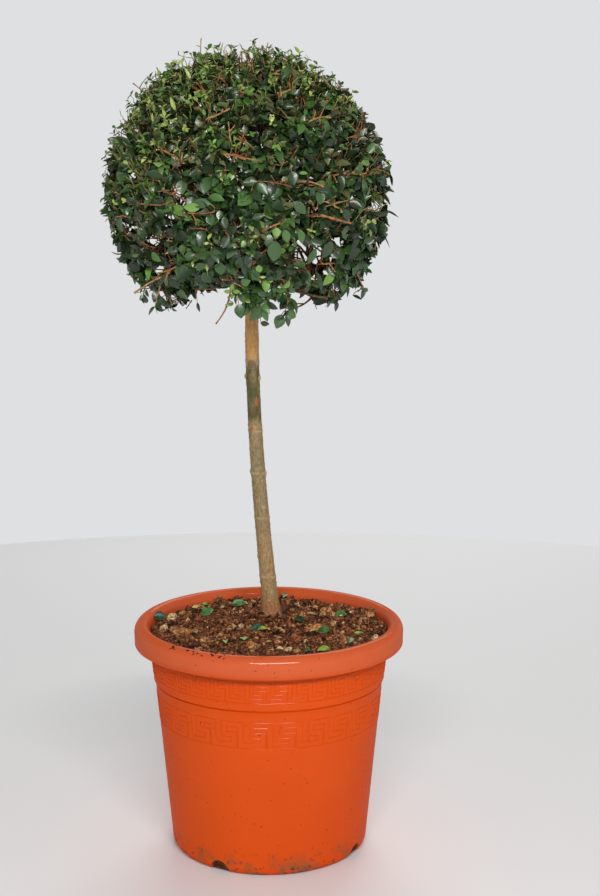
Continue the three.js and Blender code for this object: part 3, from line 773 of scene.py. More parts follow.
BOUGH_PLACES = ("right", "back_right", "back", "left", "front_left", "front")
BOUGH_FOOT_RADIUS = 3.4
BOUGH_TIP_RADIUS = 2.4
BOUGH_REACH = 42
BOUGH_BOW = 4
BOUGH_HEIGHTS = [567, 586, 572, 559, 590, 578]
BOUGH_RISES = [-10, 24, 12, -6, 26, 14]
BOUGH_COUNT = len(BOUGH_PLACES)
FIRST_BEARING = math.radians(-15)
BOUGH_SIDES = 28
BOUGH_STEPS = 50
BOUGH_COLLAR = 1.6
BOUGH_COLLAR_LENGTH = 4


def stem_axis(height):
    """The middle of the stem at a height: it leans, then stands upright."""
    share = (height - STEM_FOOT[2]) / STEM_LENGTH
    swing = STEM_LEAN * math.sin(share / STEM_UPRIGHT_SHARE * math.pi / 2)
    return np.array([STEM_FOOT[0] - swing, STEM_FOOT[1], height])


def stem_radius(height):
    """Half the stem's thickness at a height, with the flare at its foot and the swelling at each joint."""
    above = max(0.0, height - STEM_FOOT[2])
    taper = max(0.0, 1 - above / STEM_LENGTH) ** STEM_TAPER
    flare = STEM_FLARE * math.exp(-above / STEM_FLARE_HEIGHT)
    swelling = sum(swell * math.exp(-(((height - joint) / length) ** 2)) for joint, swell, length, _ in JOINTS)
    rings = sum(ring * math.exp(-(((height - joint) / RING_WIDTH) ** 2)) for joint, _, _, ring in JOINTS)
    plain = STEM_TIP_RADIUS + (STEM_FOOT_RADIUS - STEM_TIP_RADIUS) * taper
    return plain * np.interp(height, *zip(*BARK_FITS)) + flare + swelling + rings


def bark_relief(direction, height, radius, coarse):
    """How far the bark stands proud: shallow furrows along the limb, small warts and fine grain."""
    x, y = radius * direction[0], radius * direction[1]
    furrows = noise.noise(Vector((0.75 * x, 0.75 * y, height / 16)))
    warts = max(0.0, noise.noise(Vector((0.55 * x, 0.55 * y, height / 2.6))) - 0.25)
    grain = noise.noise(Vector((2.1 * x, 2.1 * y, height / 3)))
    return coarse * (0.32 * furrows + 1.1 * warts + 0.12 * grain)


def bearing(index):
    """The way a bough points, as an angle round the stem."""
    return FIRST_BEARING + index * 2 * math.pi / BOUGH_COUNT


def bough_bend(index):
    """The three points that a bough bends along."""
    start = stem_axis(BOUGH_HEIGHTS[index])
    outward = np.array([math.cos(bearing(index)), math.sin(bearing(index)), 0])
    tip = start + BOUGH_REACH * outward + (0, 0, BOUGH_RISES[index])
    return start, (start + tip) / 2 + (0, 0, BOUGH_BOW), tip


def bend_points(start, middle, end, shares):
    """Points at some shares of the way along a bend."""
    shares = np.asarray(shares)[..., None]
    return (1 - shares) ** 2 * start + 2 * shares * (1 - shares) * middle + shares**2 * end


def scar_mark(height, angle, scar):
    """How far inside a rubbed-off shoot's oval scar a point lies, from 0 at its edge to 1 in its middle."""
    at, facing, tall, wide, _ = scar
    aside = (angle - math.radians(facing) + math.pi) % (2 * math.pi) - math.pi
    spread = math.hypot((height - at) / (tall / 2), aside * stem_radius(height) / (wide / 2))
    return max(0.0, 1 - spread * spread)


FOOT_BARK, TAN_BARK, OLIVE_BARK = (0.40, 0.16, 0.055), (0.40, 0.25, 0.11), (0.25, 0.19, 0.085)
DARK_BARK, TOP_BARK = (0.075, 0.068, 0.01), (0.56, 0.285, 0.085)
PALE_RING, ORANGE_SCAR, DARK_SCAR = (0.52, 0.38, 0.19), (0.45, 0.10, 0.03), (0.13, 0.075, 0.03)
BARK_BY_HEIGHT = [
    (221, FOOT_BARK), (232, FOOT_BARK), (244, TAN_BARK), (280, TAN_BARK), (330, OLIVE_BARK), (418, OLIVE_BARK),
    (425, DARK_BARK), (472, DARK_BARK), (480, OLIVE_BARK), (488, TOP_BARK), (600, TOP_BARK),
]


def bark_colour(height, angle, place):
    """The bark's colour by its place: by height, in tan patches, with streaks, rings at the joints and scars."""
    heights, colours = zip(*BARK_BY_HEIGHT)
    base = np.array([np.interp(height, heights, part) for part in zip(*colours)])
    patches = noise.noise(Vector((place[0] / 5, place[1] / 5, place[2] / 14)))
    streaks = noise.noise(Vector((place[0] / 1.5, place[1] / 1.5, place[2] / 4)))
    mottles = noise.noise(Vector((place[0] / 1.1, place[1] / 1.1, place[2] / 1.4)))
    tan_share = min(1.0, max(0.0, 0.35 + 1.1 * patches))
    base = base * (1 - 0.4 * tan_share) + np.array(TAN_BARK) * 0.4 * tan_share
    smooth = np.interp(height, [480, 495], [1.0, 0.55])
    base = base * (1 + smooth * (0.35 * streaks + 0.4 * mottles))
    for joint, _, _, ring in JOINTS:
        part_way = 0.7 + 1.2 * noise.noise(Vector((math.cos(angle), math.sin(angle), joint)))
        share = min(1.0, 3.0 * ring * max(0.0, part_way) * math.exp(-(((height - joint) / RING_WIDTH) ** 2)))
        base = base * (1 - share) + np.array(PALE_RING) * share
    for index, scar in enumerate(SCARS):
        share = min(1.0, 2.0 * scar_mark(height, angle, scar))
        mark = ORANGE_SCAR if index in ORANGE_SCARS else DARK_SCAR if index in DARK_SCARS else PALE_RING
        base = base * (1 - 0.75 * share) + np.array(mark) * 0.75 * share
    return base


def bark_finish():
    """Thin bark: the colours kept at the mesh's points, under a fine grain that runs along the limb."""
    finish, tree, shader = new_finish("olive_bark", OLIVE_BARK, 0.62)
    painted = tree.nodes.new("ShaderNodeVertexColor")
    painted.layer_name = "bark"
    grain = add_range(tree, add_noise(tree, 900, 4, (1, 1, 0.3)), 0.38, 0.66)
    darker = tree.nodes.new("ShaderNodeMix")
    darker.data_type = "RGBA"
    darker.blend_type = "MULTIPLY"
    darker.inputs["Factor"].default_value = 0.5
    tree.links.new(painted.outputs["Color"], darker.inputs["A"])
    tree.links.new(add_mix(tree, grain, (0.5, 0.46, 0.4), (1.0, 1.0, 1.0)), darker.inputs["B"])
    tree.links.new(darker.outputs["Result"], shader.inputs["Base Color"])
    tree.links.new(add_range(tree, grain, 0, 1, 0.72, 0.5), shader.inputs["Roughness"])
    add_bump(tree, shader, add_noise(tree, 1500, 3, (1, 1, 0.25)), 0.5, 0.3)
    return finish


def stem_mesh():
    """The stem in rings from under the compost up to its tip, with a colour for each point."""
    heights = np.arange(STEM_FOOT[2] - STEM_SUNK, STEM_FOOT[2] + STEM_LENGTH, STEM_RING_GAP)
    angles = np.linspace(0, 2 * math.pi, STEM_SIDES, endpoint=False)
    points, colours = [], []
    for height in heights:
        axis, radius = stem_axis(height), stem_radius(height)
        knobbly = 1 + 2.5 * math.exp(-max(0.0, height - STEM_FOOT[2]) / 11)
        for angle in angles:
            direction = (math.cos(angle), math.sin(angle))
            proud = radius + bark_relief(direction, height, radius, knobbly)
            for scar in SCARS:
                proud += scar[4] * scar_mark(height, angle, scar)
            place = axis + (proud * direction[0], proud * direction[1], 0)
            points.append(place)
            colours.append(bark_colour(height, angle, place))
    return points, colours, grid_faces(len(heights), STEM_SIDES)


def grid_faces(rings, sides):
    """Faces of a closed limb made of rings, with a flat end at both sides."""
    faces = [tuple(range(sides - 1, -1, -1)), tuple(range((rings - 1) * sides, rings * sides))]
    for ring in range(rings - 1):
        for one in range(sides):
            other = (one + 1) % sides
            near, far = ring * sides, (ring + 1) * sides
            faces.append((near + one, near + other, far + other, far + one))
    return faces


def bough_mesh(index):
    """One bough, a little lumpy, with the collar that it leaves the stem by."""
    shares = np.linspace(0, 1, BOUGH_STEPS)
    path = bend_points(*bough_bend(index), shares)
    past_collar = (shares * BOUGH_REACH - BOUGH_COLLAR_LENGTH) / BOUGH_COLLAR_LENGTH
    collar = BOUGH_COLLAR * np.exp(-(past_collar.clip(0) ** 2))
    radii = BOUGH_FOOT_RADIUS + (BOUGH_TIP_RADIUS - BOUGH_FOOT_RADIUS) * shares + collar
    points, _ = tubes(path[None], radii[None], BOUGH_SIDES)
    centres = np.repeat(path, BOUGH_SIDES, axis=0)
    colours = []
    for number, (point, centre) in enumerate(zip(points, centres)):
        outward = (point - centre) / np.linalg.norm(point - centre)
        points[number] = point + outward * 0.5 * noise.noise(Vector(point) / 3)
        patches = noise.noise(Vector(point) / 6)
        colours.append(np.array(TOP_BARK) * (0.75 + 0.5 * patches))
    return points, colours, grid_faces(BOUGH_STEPS, BOUGH_SIDES)


points, colours, faces = stem_mesh()
for index in range(BOUGH_COUNT):
    more_points, more_colours, more_faces = bough_mesh(index)
    faces += [tuple(corner + len(points) for corner in face[::-1]) for face in more_faces]
    points += list(more_points)
    colours += more_colours
wood = make_piece("stem_and_boughs", points, faces, [bark_finish()])
paint = wood.data.color_attributes.new("bark", "FLOAT_COLOR", "POINT")
paint.data.foreach_set("color", np.column_stack([np.array(colours).clip(0, 1), np.ones(len(colours))]).ravel())
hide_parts("trunk", *[f"bough_{place}" for place in BOUGH_PLACES])

# Twigs
# The clipped head's wood: twigs that fork again and again towards the clipped surface, thinner at each fork.
# Young wood is orange brown. Where the shears have gone through a twig, its end is flat and pale.

HEAD_CENTRE = np.array([-21.0, 38.0, 645.0])
HEAD_RADIUS = 135
HEAD_RISE = 130
HEAD_UNDERSIDE = 112
FRONT_RAISE = 30  # the underside is cut this much higher in front
TOP_CONE = math.radians(43)
COLUMN = 8
COLUMN_MARGIN = 0.7
TOP = BOUGH_COUNT
BARE_CENTRE = np.array([-20.5, 38.0, 588.0])
BARE_RADIUS = 50
LIMB_GAP = 1.5
GOLDEN_ANGLE = math.pi * (3 - math.sqrt(5))
JITTER = 0.06

# The first three rounds of growth are the solids' own. The finer ones carry them on to the clipped surface
ROUNDS = [
    {"ends": 32, "reach": 0.5, "radius": 1.9, "seed": 11, "margin": 2.1},
    {"ends": 80, "reach": 0.66, "radius": 1.5, "seed": 12, "margin": 2.1},
    {"ends": 180, "reach": 0.79, "radius": 1.2, "seed": 14, "margin": 2.1},
    {"ends": 560, "reach": 0.875, "radius": 0.85, "seed": 15, "margin": 0.0},
    {"ends": 1500, "reach": 0.935, "radius": 0.65, "seed": 16, "margin": 0.0},
    {"ends": 3200, "reach": 0.985, "radius": 0.42, "seed": 17, "margin": 0.0},
]
OWN_ROUNDS = 3
PARENTS_TRIED = 40
SHOOT_EVERY = 13
SHOOT_REACH = 0.9
SHOOT_RADIUS = 1.0
TWIG_STEM_LENGTH = 18
TWIG_STEM_LIFT = 9
TWIG_STEM_RADIUS = 2.2
PIECE_GAP = 0.3
TWIG_STEPS = 6
TWIG_TAPER = 0.3
TWIG_KINK = 0.04  # of a twig's length
TWIG_CREASE = 50

# Where light comes through the head: a gap from front to back low on the right, as (x, height, radius), and
# small ones in line with the eye of someone in front, where they cross the middle of the head
WINDOW = (39, 586, 15)
EYE = np.array([30.8, -1535.9, 662.6])
PINHOLES = np.array([
    (-132, 661, 2.5), (-87, 644, 2.5), (-86, 636, 2.2), (-97, 623, 2.2), (-142, 617, 2.0), (-130, 613, 2.5),
    (-134, 610, 1.5), (-117, 601, 3.0), (-107, 596, 3.0), (-100, 587, 1.5), (-106, 574, 2.7), (-109, 569, 2.0),
    (-97, 614, 1.3), (-133, 578, 1.5), (-105, 547, 4.0), (-93, 547, 2.0), (-81, 550, 1.5), (-73, 544, 3.0),
    (-117, 554, 2.5), (45, 630, 2.0), (82, 628, 2.5), (82, 637, 1.5), (66, 600, 2.7), (69, 594, 2.2), (49, 591, 3.0),
    (61, 582, 1.8), (104, 632, 3.0), (100, 631, 2.0), (56, 567, 3.0), (45, 563, 3.0), (65, 554, 5.0),
    (-128, 706, 1.5), (-140, 700, 3.0), (-141, 717, 2.5), (-76, 770, 3.5), (-85, 763, 2.0), (-40, 778, 2.5),
    (-28, 774, 2.0), (-23, 772, 1.5), (-16, 772, 1.5), (-129, 733, 2.0), (-65, 729, 1.0), (-4, 705, 1.2),
])
PINHOLE_ROOM = 2.2  # kept free round each of them, for half a leaf's width
# The head's uneven lower edge, as (x, height)
HEM = np.array([
    (-161, 600), (-153, 585), (-145, 571), (-139, 558), (-126, 551), (-117, 536), (-111, 528), (-104, 528),
    (-95, 534), (-85, 538), (-77, 538), (-70, 542), (-62, 548), (-46, 550), (-39, 548), (-30, 546), (-22, 546),
    (-7, 548), (3, 550), (9, 550), (17, 552), (31, 552), (43, 544), (55, 540), (64, 535), (75, 543), (88, 540),
    (96, 551), (103, 573), (119, 600),
])


def seeded(seed):
    """Seeded numbers between 0 and 1, the same as the solids' own."""
    state = seed

    def times(one, other):
        return (one * other) & 0xFFFFFFFF

    def draw():
        nonlocal state
        state = (state + 0x6D2B79F5) & 0xFFFFFFFF
        mixed = times(state ^ (state >> 15), state | 1)
        mixed ^= (mixed + times(mixed ^ (mixed >> 7), mixed | 61)) & 0xFFFFFFFF
        return (mixed ^ (mixed >> 14)) / 4294967296

    return draw


def clipped_reach(directions):
    """How far the clipped surface lies from the middle of the head."""
    across = np.hypot(directions[..., 0], directions[..., 1]) / HEAD_RADIUS
    upright = directions[..., 2]
    reach = 1 / np.hypot(across, upright / np.where(upright > 0, HEAD_RISE, HEAD_RADIUS))
    raised = FRONT_RAISE * np.clip(-2 * directions[..., 1], 0, 1)
    flat = (HEAD_UNDERSIDE - raised) / np.maximum(-upright, 1e-9)
    return np.where(upright < 0, np.minimum(reach, flat), reach)


def share_of_reach(points):
    """How far out points lie, 1 on the clipped surface, and the way there from the middle of the head."""
    offset = points - HEAD_CENTRE
    far = np.linalg.norm(offset, axis=-1)
    out = offset / far[..., None]
    return far / clipped_reach(out), out


def depth_inside(mass, points):
    """How far points lie inside the space of a mass, less than nothing when they are outside."""
    offset = points - HEAD_CENTRE
    across = np.hypot(offset[..., 0], offset[..., 1])
    below_cone = across * math.cos(TOP_CONE) - offset[..., 2] * math.sin(TOP_CONE)
    if mass == TOP:
        return np.maximum(-below_cone, COLUMN - COLUMN_MARGIN - across)
    half = math.pi / BOUGH_COUNT
    along = offset[..., 0] * math.cos(bearing(mass)) + offset[..., 1] * math.sin(bearing(mass))
    aside = offset[..., 1] * math.cos(bearing(mass)) - offset[..., 0] * math.sin(bearing(mass))
    walls = along * math.sin(half) - np.abs(aside) * math.cos(half)
    return np.minimum(np.minimum(below_cone, walls), across - COLUMN)


def limb_lines():
    """Points along the boughs and the stem, with how near a twig may come."""
    points = [bend_points(*bough_bend(index), np.linspace(0, 1, 9)) for index in range(BOUGH_COUNT)]
    near = [np.full(9, BOUGH_FOOT_RADIUS + LIMB_GAP)] * BOUGH_COUNT
    heights = STEM_FOOT[2] + STEM_LENGTH * np.linspace(0, 1, 61)
    points.append(np.array([stem_axis(height) for height in heights]))
    near.append(np.full(61, STEM_FOOT_RADIUS + LIMB_GAP))
    return np.vstack(points), np.concatenate(near)


LIMB_POINTS, LIMB_NEAR = limb_lines()


def clear_of_limbs(points):
    """Whether points keep off the boughs and the stem."""
    apart = np.linalg.norm(points[:, None] - LIMB_POINTS[None], axis=2)
    return bool((apart > LIMB_NEAR).all())


def spiral_point(index, count):
    """One of many directions spread evenly all round."""
    height = 1 - (2 * index + 1) / count
    around = index * GOLDEN_ANGLE
    across = math.sqrt(1 - height * height)
    return np.array([across * math.cos(around), across * math.sin(around), height])


def is_bare(end):
    """The place round the stem, under the head, where no twig grows."""
    beside = math.hypot(end[0] - BARE_CENTRE[0], end[1] - BARE_CENTRE[1])
    return end[2] < BARE_CENTRE[2] and beside < BARE_RADIUS


def is_open(points):
    """Whether points lie in the gap, in line with a pinhole, or lower than the head's lower edge."""
    through = np.hypot(points[..., 0] - WINDOW[0], points[..., 2] - WINDOW[1]) < WINDOW[2]
    sights = np.column_stack([PINHOLES[:, 0], np.full(len(PINHOLES), HEAD_CENTRE[1]), PINHOLES[:, 1]]) - EYE
    sights /= np.linalg.norm(sights, axis=1)[:, None]
    beside = np.linalg.norm(np.cross((points - EYE)[..., None, :], sights), axis=-1)
    in_pinhole = (beside < PINHOLES[:, 2] + PINHOLE_ROOM).any(axis=-1)
    below_hem = points[..., 2] < np.interp(points[..., 0], *HEM.T)
    return through | in_pinhole | below_hem


def twig_fits(start, end, mass, margin):
    """Whether a twig stays in its own mass and off the limbs."""
    between = start + (end - start) * np.array([[0.25], [0.5], [0.75], [1.0]])
    return (depth_inside(mass, between) > margin).all() and clear_of_limbs(between)


def mass_stem(mass):
    """The first twig of a mass carries its bough or the stem on."""
    if mass == TOP:
        start, before = stem_axis(STEM_FOOT[2] + STEM_LENGTH), stem_axis(STEM_FOOT[2] + STEM_LENGTH - 1)
        heading = (start - before) / np.linalg.norm(start - before)
    else:
        _, middle, start = bough_bend(mass)
        heading = (start - middle) / np.linalg.norm(start - middle)
    start = start + PIECE_GAP * heading
    middle = start + heading * TWIG_STEM_LENGTH / 2
    end = HEAD_CENTRE if mass == TOP else middle + heading * TWIG_STEM_LENGTH / 2 + (0, 0, TWIG_STEM_LIFT)
    return {"mass": mass, "start": start - 3 * heading, "middle": middle, "end": end, "radius": TWIG_STEM_RADIUS,
            "foot_radius": BOUGH_TIP_RADIUS}


def grow_on(parent, end, radius):
    """A twig from its parent's end, leaving along the parent's own heading at first."""
    start = parent["end"]
    length = np.linalg.norm(end - start)
    heading = parent["end"] - parent["middle"]
    heading = heading / np.linalg.norm(heading)
    middle = (start + end) / 2 * 0.75 + (start + heading * length / 2) * 0.25
    return {"mass": parent["mass"], "start": start - heading * radius, "middle": middle, "end": end, "radius": radius,
            "foot_radius": min(parent["radius"] * (1 - TWIG_TAPER), radius * 1.35)}


def grow():
    """Round after round of twigs, each from the nearest earlier twig of its mass that it can reach freely."""
    stems = [mass_stem(mass) for mass in range(TOP + 1)]
    parents = stems
    rounds = []
    for number, stage in enumerate(ROUNDS):
        draw = seeded(stage["seed"])
        grown = []
        starts = np.array([twig["end"] for twig in parents])
        owners = np.array([twig["mass"] for twig in parents])
        for index in range(stage["ends"]):
            wander = np.array([draw() - 0.5, draw() - 0.5, draw() - 0.5])
            direction = spiral_point(index, stage["ends"]) + wander * 2 * JITTER
            direction /= np.linalg.norm(direction)
            share = stage["reach"] * (1 - JITTER * draw())
            end = HEAD_CENTRE + direction * share * clipped_reach(direction)
            mass = next((one for one in range(TOP + 1) if depth_inside(one, end) > stage["margin"]), None)
            if mass is None or is_bare(end) or (number >= OWN_ROUNDS and is_open(end)):
                continue
            apart = np.where(owners == mass, np.linalg.norm(starts - end, axis=1), np.inf)
            for nearest in np.argsort(apart)[:PARENTS_TRIED]:
                if apart[nearest] < np.inf and twig_fits(starts[nearest], end, mass, stage["margin"]):
                    grown.append(grow_on(parents[nearest], end, stage["radius"]))
                    break
        rounds.append(grown)
        parents = grown
    long_shoots = [long_shoot(twig) for twig in rounds[OWN_ROUNDS - 1][::SHOOT_EVERY]]
    return stems + long_shoots, rounds


def long_shoot(parent):
    """A twig that goes straight on out from an inner one."""
    _, out = share_of_reach(parent["end"])
    return grow_on(parent, HEAD_CENTRE + out * SHOOT_REACH * clipped_reach(out), SHOOT_RADIUS)


def twig_finish(name, colour, roughness=0.6):
    """Young bark, mottled darker."""
    finish, tree, shader = new_finish(name, colour, roughness)
    add_patches(tree, colour, 0.42, 1.0, add_noise(tree, 260, 3), (0.35, 0.62))
    shader.inputs["Specular IOR Level"].default_value = 0.3
    add_bump(tree, shader, add_noise(tree, 900, 3), 0.6, 0.3)
    return finish


TWIG_BARK = [
    twig_finish("twig_orange", (0.40, 0.17, 0.06)),
    twig_finish("twig_tan", (0.42, 0.24, 0.095)),
    twig_finish("twig_brown", (0.16, 0.08, 0.033)),
    twig_finish("twig_red", (0.25, 0.09, 0.04)),
    twig_finish("twig_cut", (0.66, 0.46, 0.24), 0.8),
]
CUT = len(TWIG_BARK) - 1

# The twigs' pieces, each with its sides and the shares of orange, tan, brown and red bark
TWIG_SEED = 33
stems, rounds = grow()
TWIG_PIECES = [
    ("twigs_inside", stems + rounds[0] + rounds[1] + rounds[2], 6, [0.2, 0.2, 0.45, 0.15]),
    ("twigs_outside", rounds[3] + rounds[4], 5, [0.4, 0.25, 0.2, 0.15]),
    ("twigs_finest", rounds[5], 3, [0.4, 0.25, 0.2, 0.15]),
]


def twig_paths(twigs, rng):
    """Each twig's bent line, with a slight kink of its own."""
    shares = np.linspace(0, 1, TWIG_STEPS)
    start, middle, end = (np.array([twig[point] for twig in twigs])[:, None] for point in ("start", "middle", "end"))
    paths = bend_points(start, middle, end, shares)
    length = np.linalg.norm(end - start, axis=2)[:, :, None]
    kink = rng.normal(0, TWIG_KINK, (len(twigs), TWIG_STEPS, 3)) * length
    kink[:, 0] = kink[:, -1] = 0
    return paths + kink


def twig_radii(twigs):
    """Each twig's thickness, quickly thinner past its foot."""
    foot = np.array([twig["foot_radius"] for twig in twigs])[:, None]
    tip = np.array([twig["radius"] * (1 - TWIG_TAPER) for twig in twigs])[:, None]
    return foot + (tip - foot) * np.linspace(0, 1, TWIG_STEPS) ** 0.6


def wood_piece(name, paths, radii, sides, bark):
    """Many twigs in one piece: each has one bark all along, and a pale cut at its end."""
    points, faces = tubes(paths, radii, sides)
    walls = np.repeat(bark, (paths.shape[1] - 1) * sides)
    ends = np.full(len(paths), CUT)
    piece = make_piece(name, points, faces, TWIG_BARK, np.r_[walls, bark, ends], crease=TWIG_CREASE)


rng = np.random.default_rng(TWIG_SEED)
for name, twigs, sides, shares in TWIG_PIECES:
    wood_piece(name, twig_paths(twigs, rng), twig_radii(twigs), sides, rng.choice(4, len(twigs), p=shares))

# Clipped shoots
# Thicker shoots, bare where the shears have run along them, lie sideways just under the clipped surface.
# Each is cut through at its end, and so are the snags on it. Short stubs stand out all over, most of them on top.

SHOOT_STEPS = 11
SHOOT_COUNT = 150
SHOOT_LENGTH = (14, 34)
SHOOT_FOOT_RADIUS = (0.5, 1.05)
SHOOT_SIDES = 7
KNOT_SIZE = 0.28
SNAG_LENGTH = (4, 12)
STUB_COUNT = 1100
STUB_LENGTH = (7, 18)
STUB_FOOT_RADIUS = (0.32, 0.62)
STUB_SIDES = 4
SHOOT_BARK = [0.42, 0.3, 0.1, 0.18]  # the shares of orange, tan, brown and red bark

# Shoots to know again, each as the points it passes and its radius at the foot, in millimetres
KNOWN_SHOOTS = [
    ([(2, -91, 657), (13, -89, 655), (23, -86, 652)], 1.2), ([(9, -92, 656), (5, -94, 662)], 0.8),
    ([(30, -85, 657), (40, -81, 657), (52, -75, 652)], 1.2), ([(63, -66, 662), (68, -61, 664), (75, -55, 666)], 1.3),
    ([(77, -52, 664), (84, -44, 663), (92, -32, 664)], 1.0), ([(50, -77, 627), (62, -69, 623), (77, -54, 619)], 1.6),
    ([(56, -71, 635), (65, -66, 638), (74, -57, 639), (80, -50, 641)], 0.9),
    ([(-3, -90, 613), (5, -91, 617), (13, -89, 620)], 1.2), ([(49, -50, 579), (60, -43, 583), (75, -19, 577)], 1.2),
    ([(-31, -90, 682), (-18, -93, 677), (-5, -93, 675)], 1.1),
    ([(-137, -24, 658), (-122, -47, 655), (-105, -65, 661), (-96, -72, 657)], 1.2),
    ([(-105, -67, 661), (-112, -60, 674)], 0.8), ([(-95, -76, 649), (-84, -83, 646), (-72, -89, 640)], 1.4),
    ([(-133, -32, 635), (-114, -58, 637), (-89, -77, 634), (-84, -79, 640)], 1.0),
    ([(-72, -86, 629), (-55, -93, 628), (-46, -95, 630)], 0.9), ([(-105, -58, 606), (-96, -66, 606)], 1.3),
    ([(-71, -36, 744), (-62, -47, 739), (-54, -57, 732)], 1.5),
    ([(-96, -67, 686), (-87, -75, 682), (-79, -81, 677)], 1.4),
    ([(-78, -81, 673), (-73, -85, 675), (-68, -86, 677)], 1.4),
    ([(-40, -91, 682), (-30, -94, 680), (-17, -95, 676)], 1.2),
    ([(-55, -73, 712), (-45, -77, 714), (-32, -73, 721)], 1.2),
    ([(-25, -83, 698), (-20, -85, 693), (-15, -87, 686)], 1.3), ([(-69, -78, 696), (-63, -84, 689)], 0.9),
    ([(-31, -89, 692), (-32, -88, 701), (-33, -82, 709)], 1.0), ([(-24, -58, 737), (-15, -61, 734)], 1.5),
    ([(4, -30, 755), (13, -32, 753)], 1.4), ([(13, -54, 735), (22, -46, 739)], 1.3),
    ([(40, -62, 711), (51, -51, 715), (59, -46, 714)], 1.1), ([(-63, 10, 762), (-63, 10, 776), (-62, 10, 789)], 0.8),
    ([(-98, 20, 745), (-101, 20, 753), (-105, 20, 763)], 0.8),
    ([(-113, 30, 734), (-120, 30, 742), (-129, 30, 749)], 0.9), ([(-3, 0, 768), (-1, 0, 777), (1, 0, 784)], 0.8),
    ([(-78, -30, 582), (-89, -30, 573), (-111, -30, 563), (-125, -30, 553)], 1.4),
    ([(-115, 0, 564), (-121, 0, 566), (-135, 0, 569)], 0.9),
    ([(-35, -40, 550), (-37, -40, 542), (-43, -40, 531), (-48, -40, 525)], 1.2),
    ([(0, -10, 562), (12, -10, 557), (31, -10, 553), (45, -10, 548), (57, -10, 547)], 1.8),
    ([(-48, -20, 557), (-68, -20, 556)], 2.0), ([(22, -58, 597), (18, -62, 588), (11, -60, 572)], 1.3),
    ([(27, -55, 582), (20, -60, 580), (12, -60, 576)], 1.1), ([(7, -62, 571), (14, -60, 568), (20, -56, 565)], 1.1),
    ([(24, -50, 592), (19, -54, 586)], 1.2),
]


def smooth_path(points):
    """A shoot's line through these points, its corners rounded off."""
    points = np.array(points, float)
    along = np.concatenate([[0], np.cumsum(np.linalg.norm(np.diff(points, axis=0), axis=1))])
    at = np.linspace(0, along[-1], SHOOT_STEPS)
    path = np.column_stack([np.interp(at, along, points[:, part]) for part in range(3)])
    for _ in range(2):
        path[1:-1] = 0.25 * path[:-2] + 0.5 * path[1:-1] + 0.25 * path[2:]
    return path


def kept_in(point, share):
    """The point, brought back to a share of the reach if it lies further out."""
    far, _ = share_of_reach(point)
    return HEAD_CENTRE + (point - HEAD_CENTRE) * min(1.0, share / far)


def nearest(places, point):
    """Of many places, the one nearest to a point."""
    return places[np.argmin(np.linalg.norm(places - point, axis=1))]


wood_ends = np.array([twig["end"] for twig in rounds[3] + rounds[4]])
shoot_paths, shoot_feet = [], []
for points, radius in KNOWN_SHOOTS:
    inner = np.array(points[0], float) + (HEAD_CENTRE - np.array(points[0])) * 0.14
    carrier = nearest(wood_ends, inner)
    shoot_paths.append(smooth_path([carrier, (carrier + points[0]) / 2 + (inner - carrier) * 0.2, *points]))
    shoot_feet.append(0.8 * radius)

starts = np.array([twig["end"] for twig in rounds[4]])
for start in starts[rng.choice(len(starts), SHOOT_COUNT, replace=False)]:
    _, out = share_of_reach(start)
    high = max(0.0, out[2])
    aside = np.cross(out, rng.normal(size=3))
    aside[2] *= 0.5
    heading = aside / np.linalg.norm(aside) + out * rng.uniform(0.1, 0.5) + (0, 0, 1.2 * high)
    heading /= np.linalg.norm(heading)
    length = rng.uniform(*SHOOT_LENGTH) * (1 - 0.4 * high)
    middle = kept_in(start + heading * length * 0.5 + out * rng.uniform(2, 6), 1.0)
    end = kept_in(start + heading * length + out * rng.uniform(2, 7), 1.03)
    kink = rng.normal(0, 0.05, 3) * length
    shoot_paths.append(smooth_path([start, (start + middle) / 2 - kink, middle + kink, (middle + end) / 2, end]))
    shoot_feet.append(rng.uniform(*SHOOT_FOOT_RADIUS))

main_paths = list(shoot_paths)
for path, foot in list(zip(main_paths, shoot_feet)):
    for _ in range(rng.integers(0, 3)):
        at = rng.integers(4, SHOOT_STEPS - 2)
        along = path[at + 1] - path[at - 1]
        along /= np.linalg.norm(along)
        away = np.cross(along, rng.normal(size=3))
        _, out = share_of_reach(path[at])
        heading = along * 0.6 + away / np.linalg.norm(away) * 0.7 + out * 0.3
        tip = kept_in(path[at] + heading * rng.uniform(*SNAG_LENGTH), 1.04)
        shoot_paths.append(smooth_path([path[at], (path[at] + tip) / 2, tip]))
        shoot_feet.append(foot * 0.7)

outer_ends = np.array([twig["end"] for twig in rounds[5]])
_, outward = share_of_reach(outer_ends)
chance = np.clip(0.3 + 0.6 * outward[:, 2] + 0.4 * np.abs(outward[:, 0]), 0.25, 1.2)
for start in outer_ends[rng.choice(len(outer_ends), STUB_COUNT, replace=False, p=chance / chance.sum())]:
    _, out = share_of_reach(start)
    heading = out + (0, 0, 0.7) + rng.normal(0, 0.5, 3)
    tip = start + heading / np.linalg.norm(heading) * rng.uniform(*STUB_LENGTH)
    tip = kept_in(tip, 1.0 + rng.uniform(0.01, 0.06) * max(0.3, out[2]))
    shoot_paths.append(smooth_path([start - out * 3, (start + tip) / 2, tip]))
    shoot_feet.append(rng.uniform(*STUB_FOOT_RADIUS))

paths = np.array(shoot_paths)
taper = np.linspace(1.0, 0.72, SHOOT_STEPS)
knots = 1 + KNOT_SIZE * (np.arange(SHOOT_STEPS) % 4 == 2)
radii = np.array(shoot_feet)[:, None] * taper * knots * rng.uniform(0.92, 1.08, paths.shape[:2])
bark = rng.choice(4, len(paths), p=SHOOT_BARK)
stub = np.arange(len(paths)) >= len(paths) - STUB_COUNT
wood_piece("clipped_shoots", paths[~stub], radii[~stub], SHOOT_SIDES, bark[~stub])
wood_piece("clipped_stubs", paths[stub], radii[stub], STUB_SIDES, bark[stub])

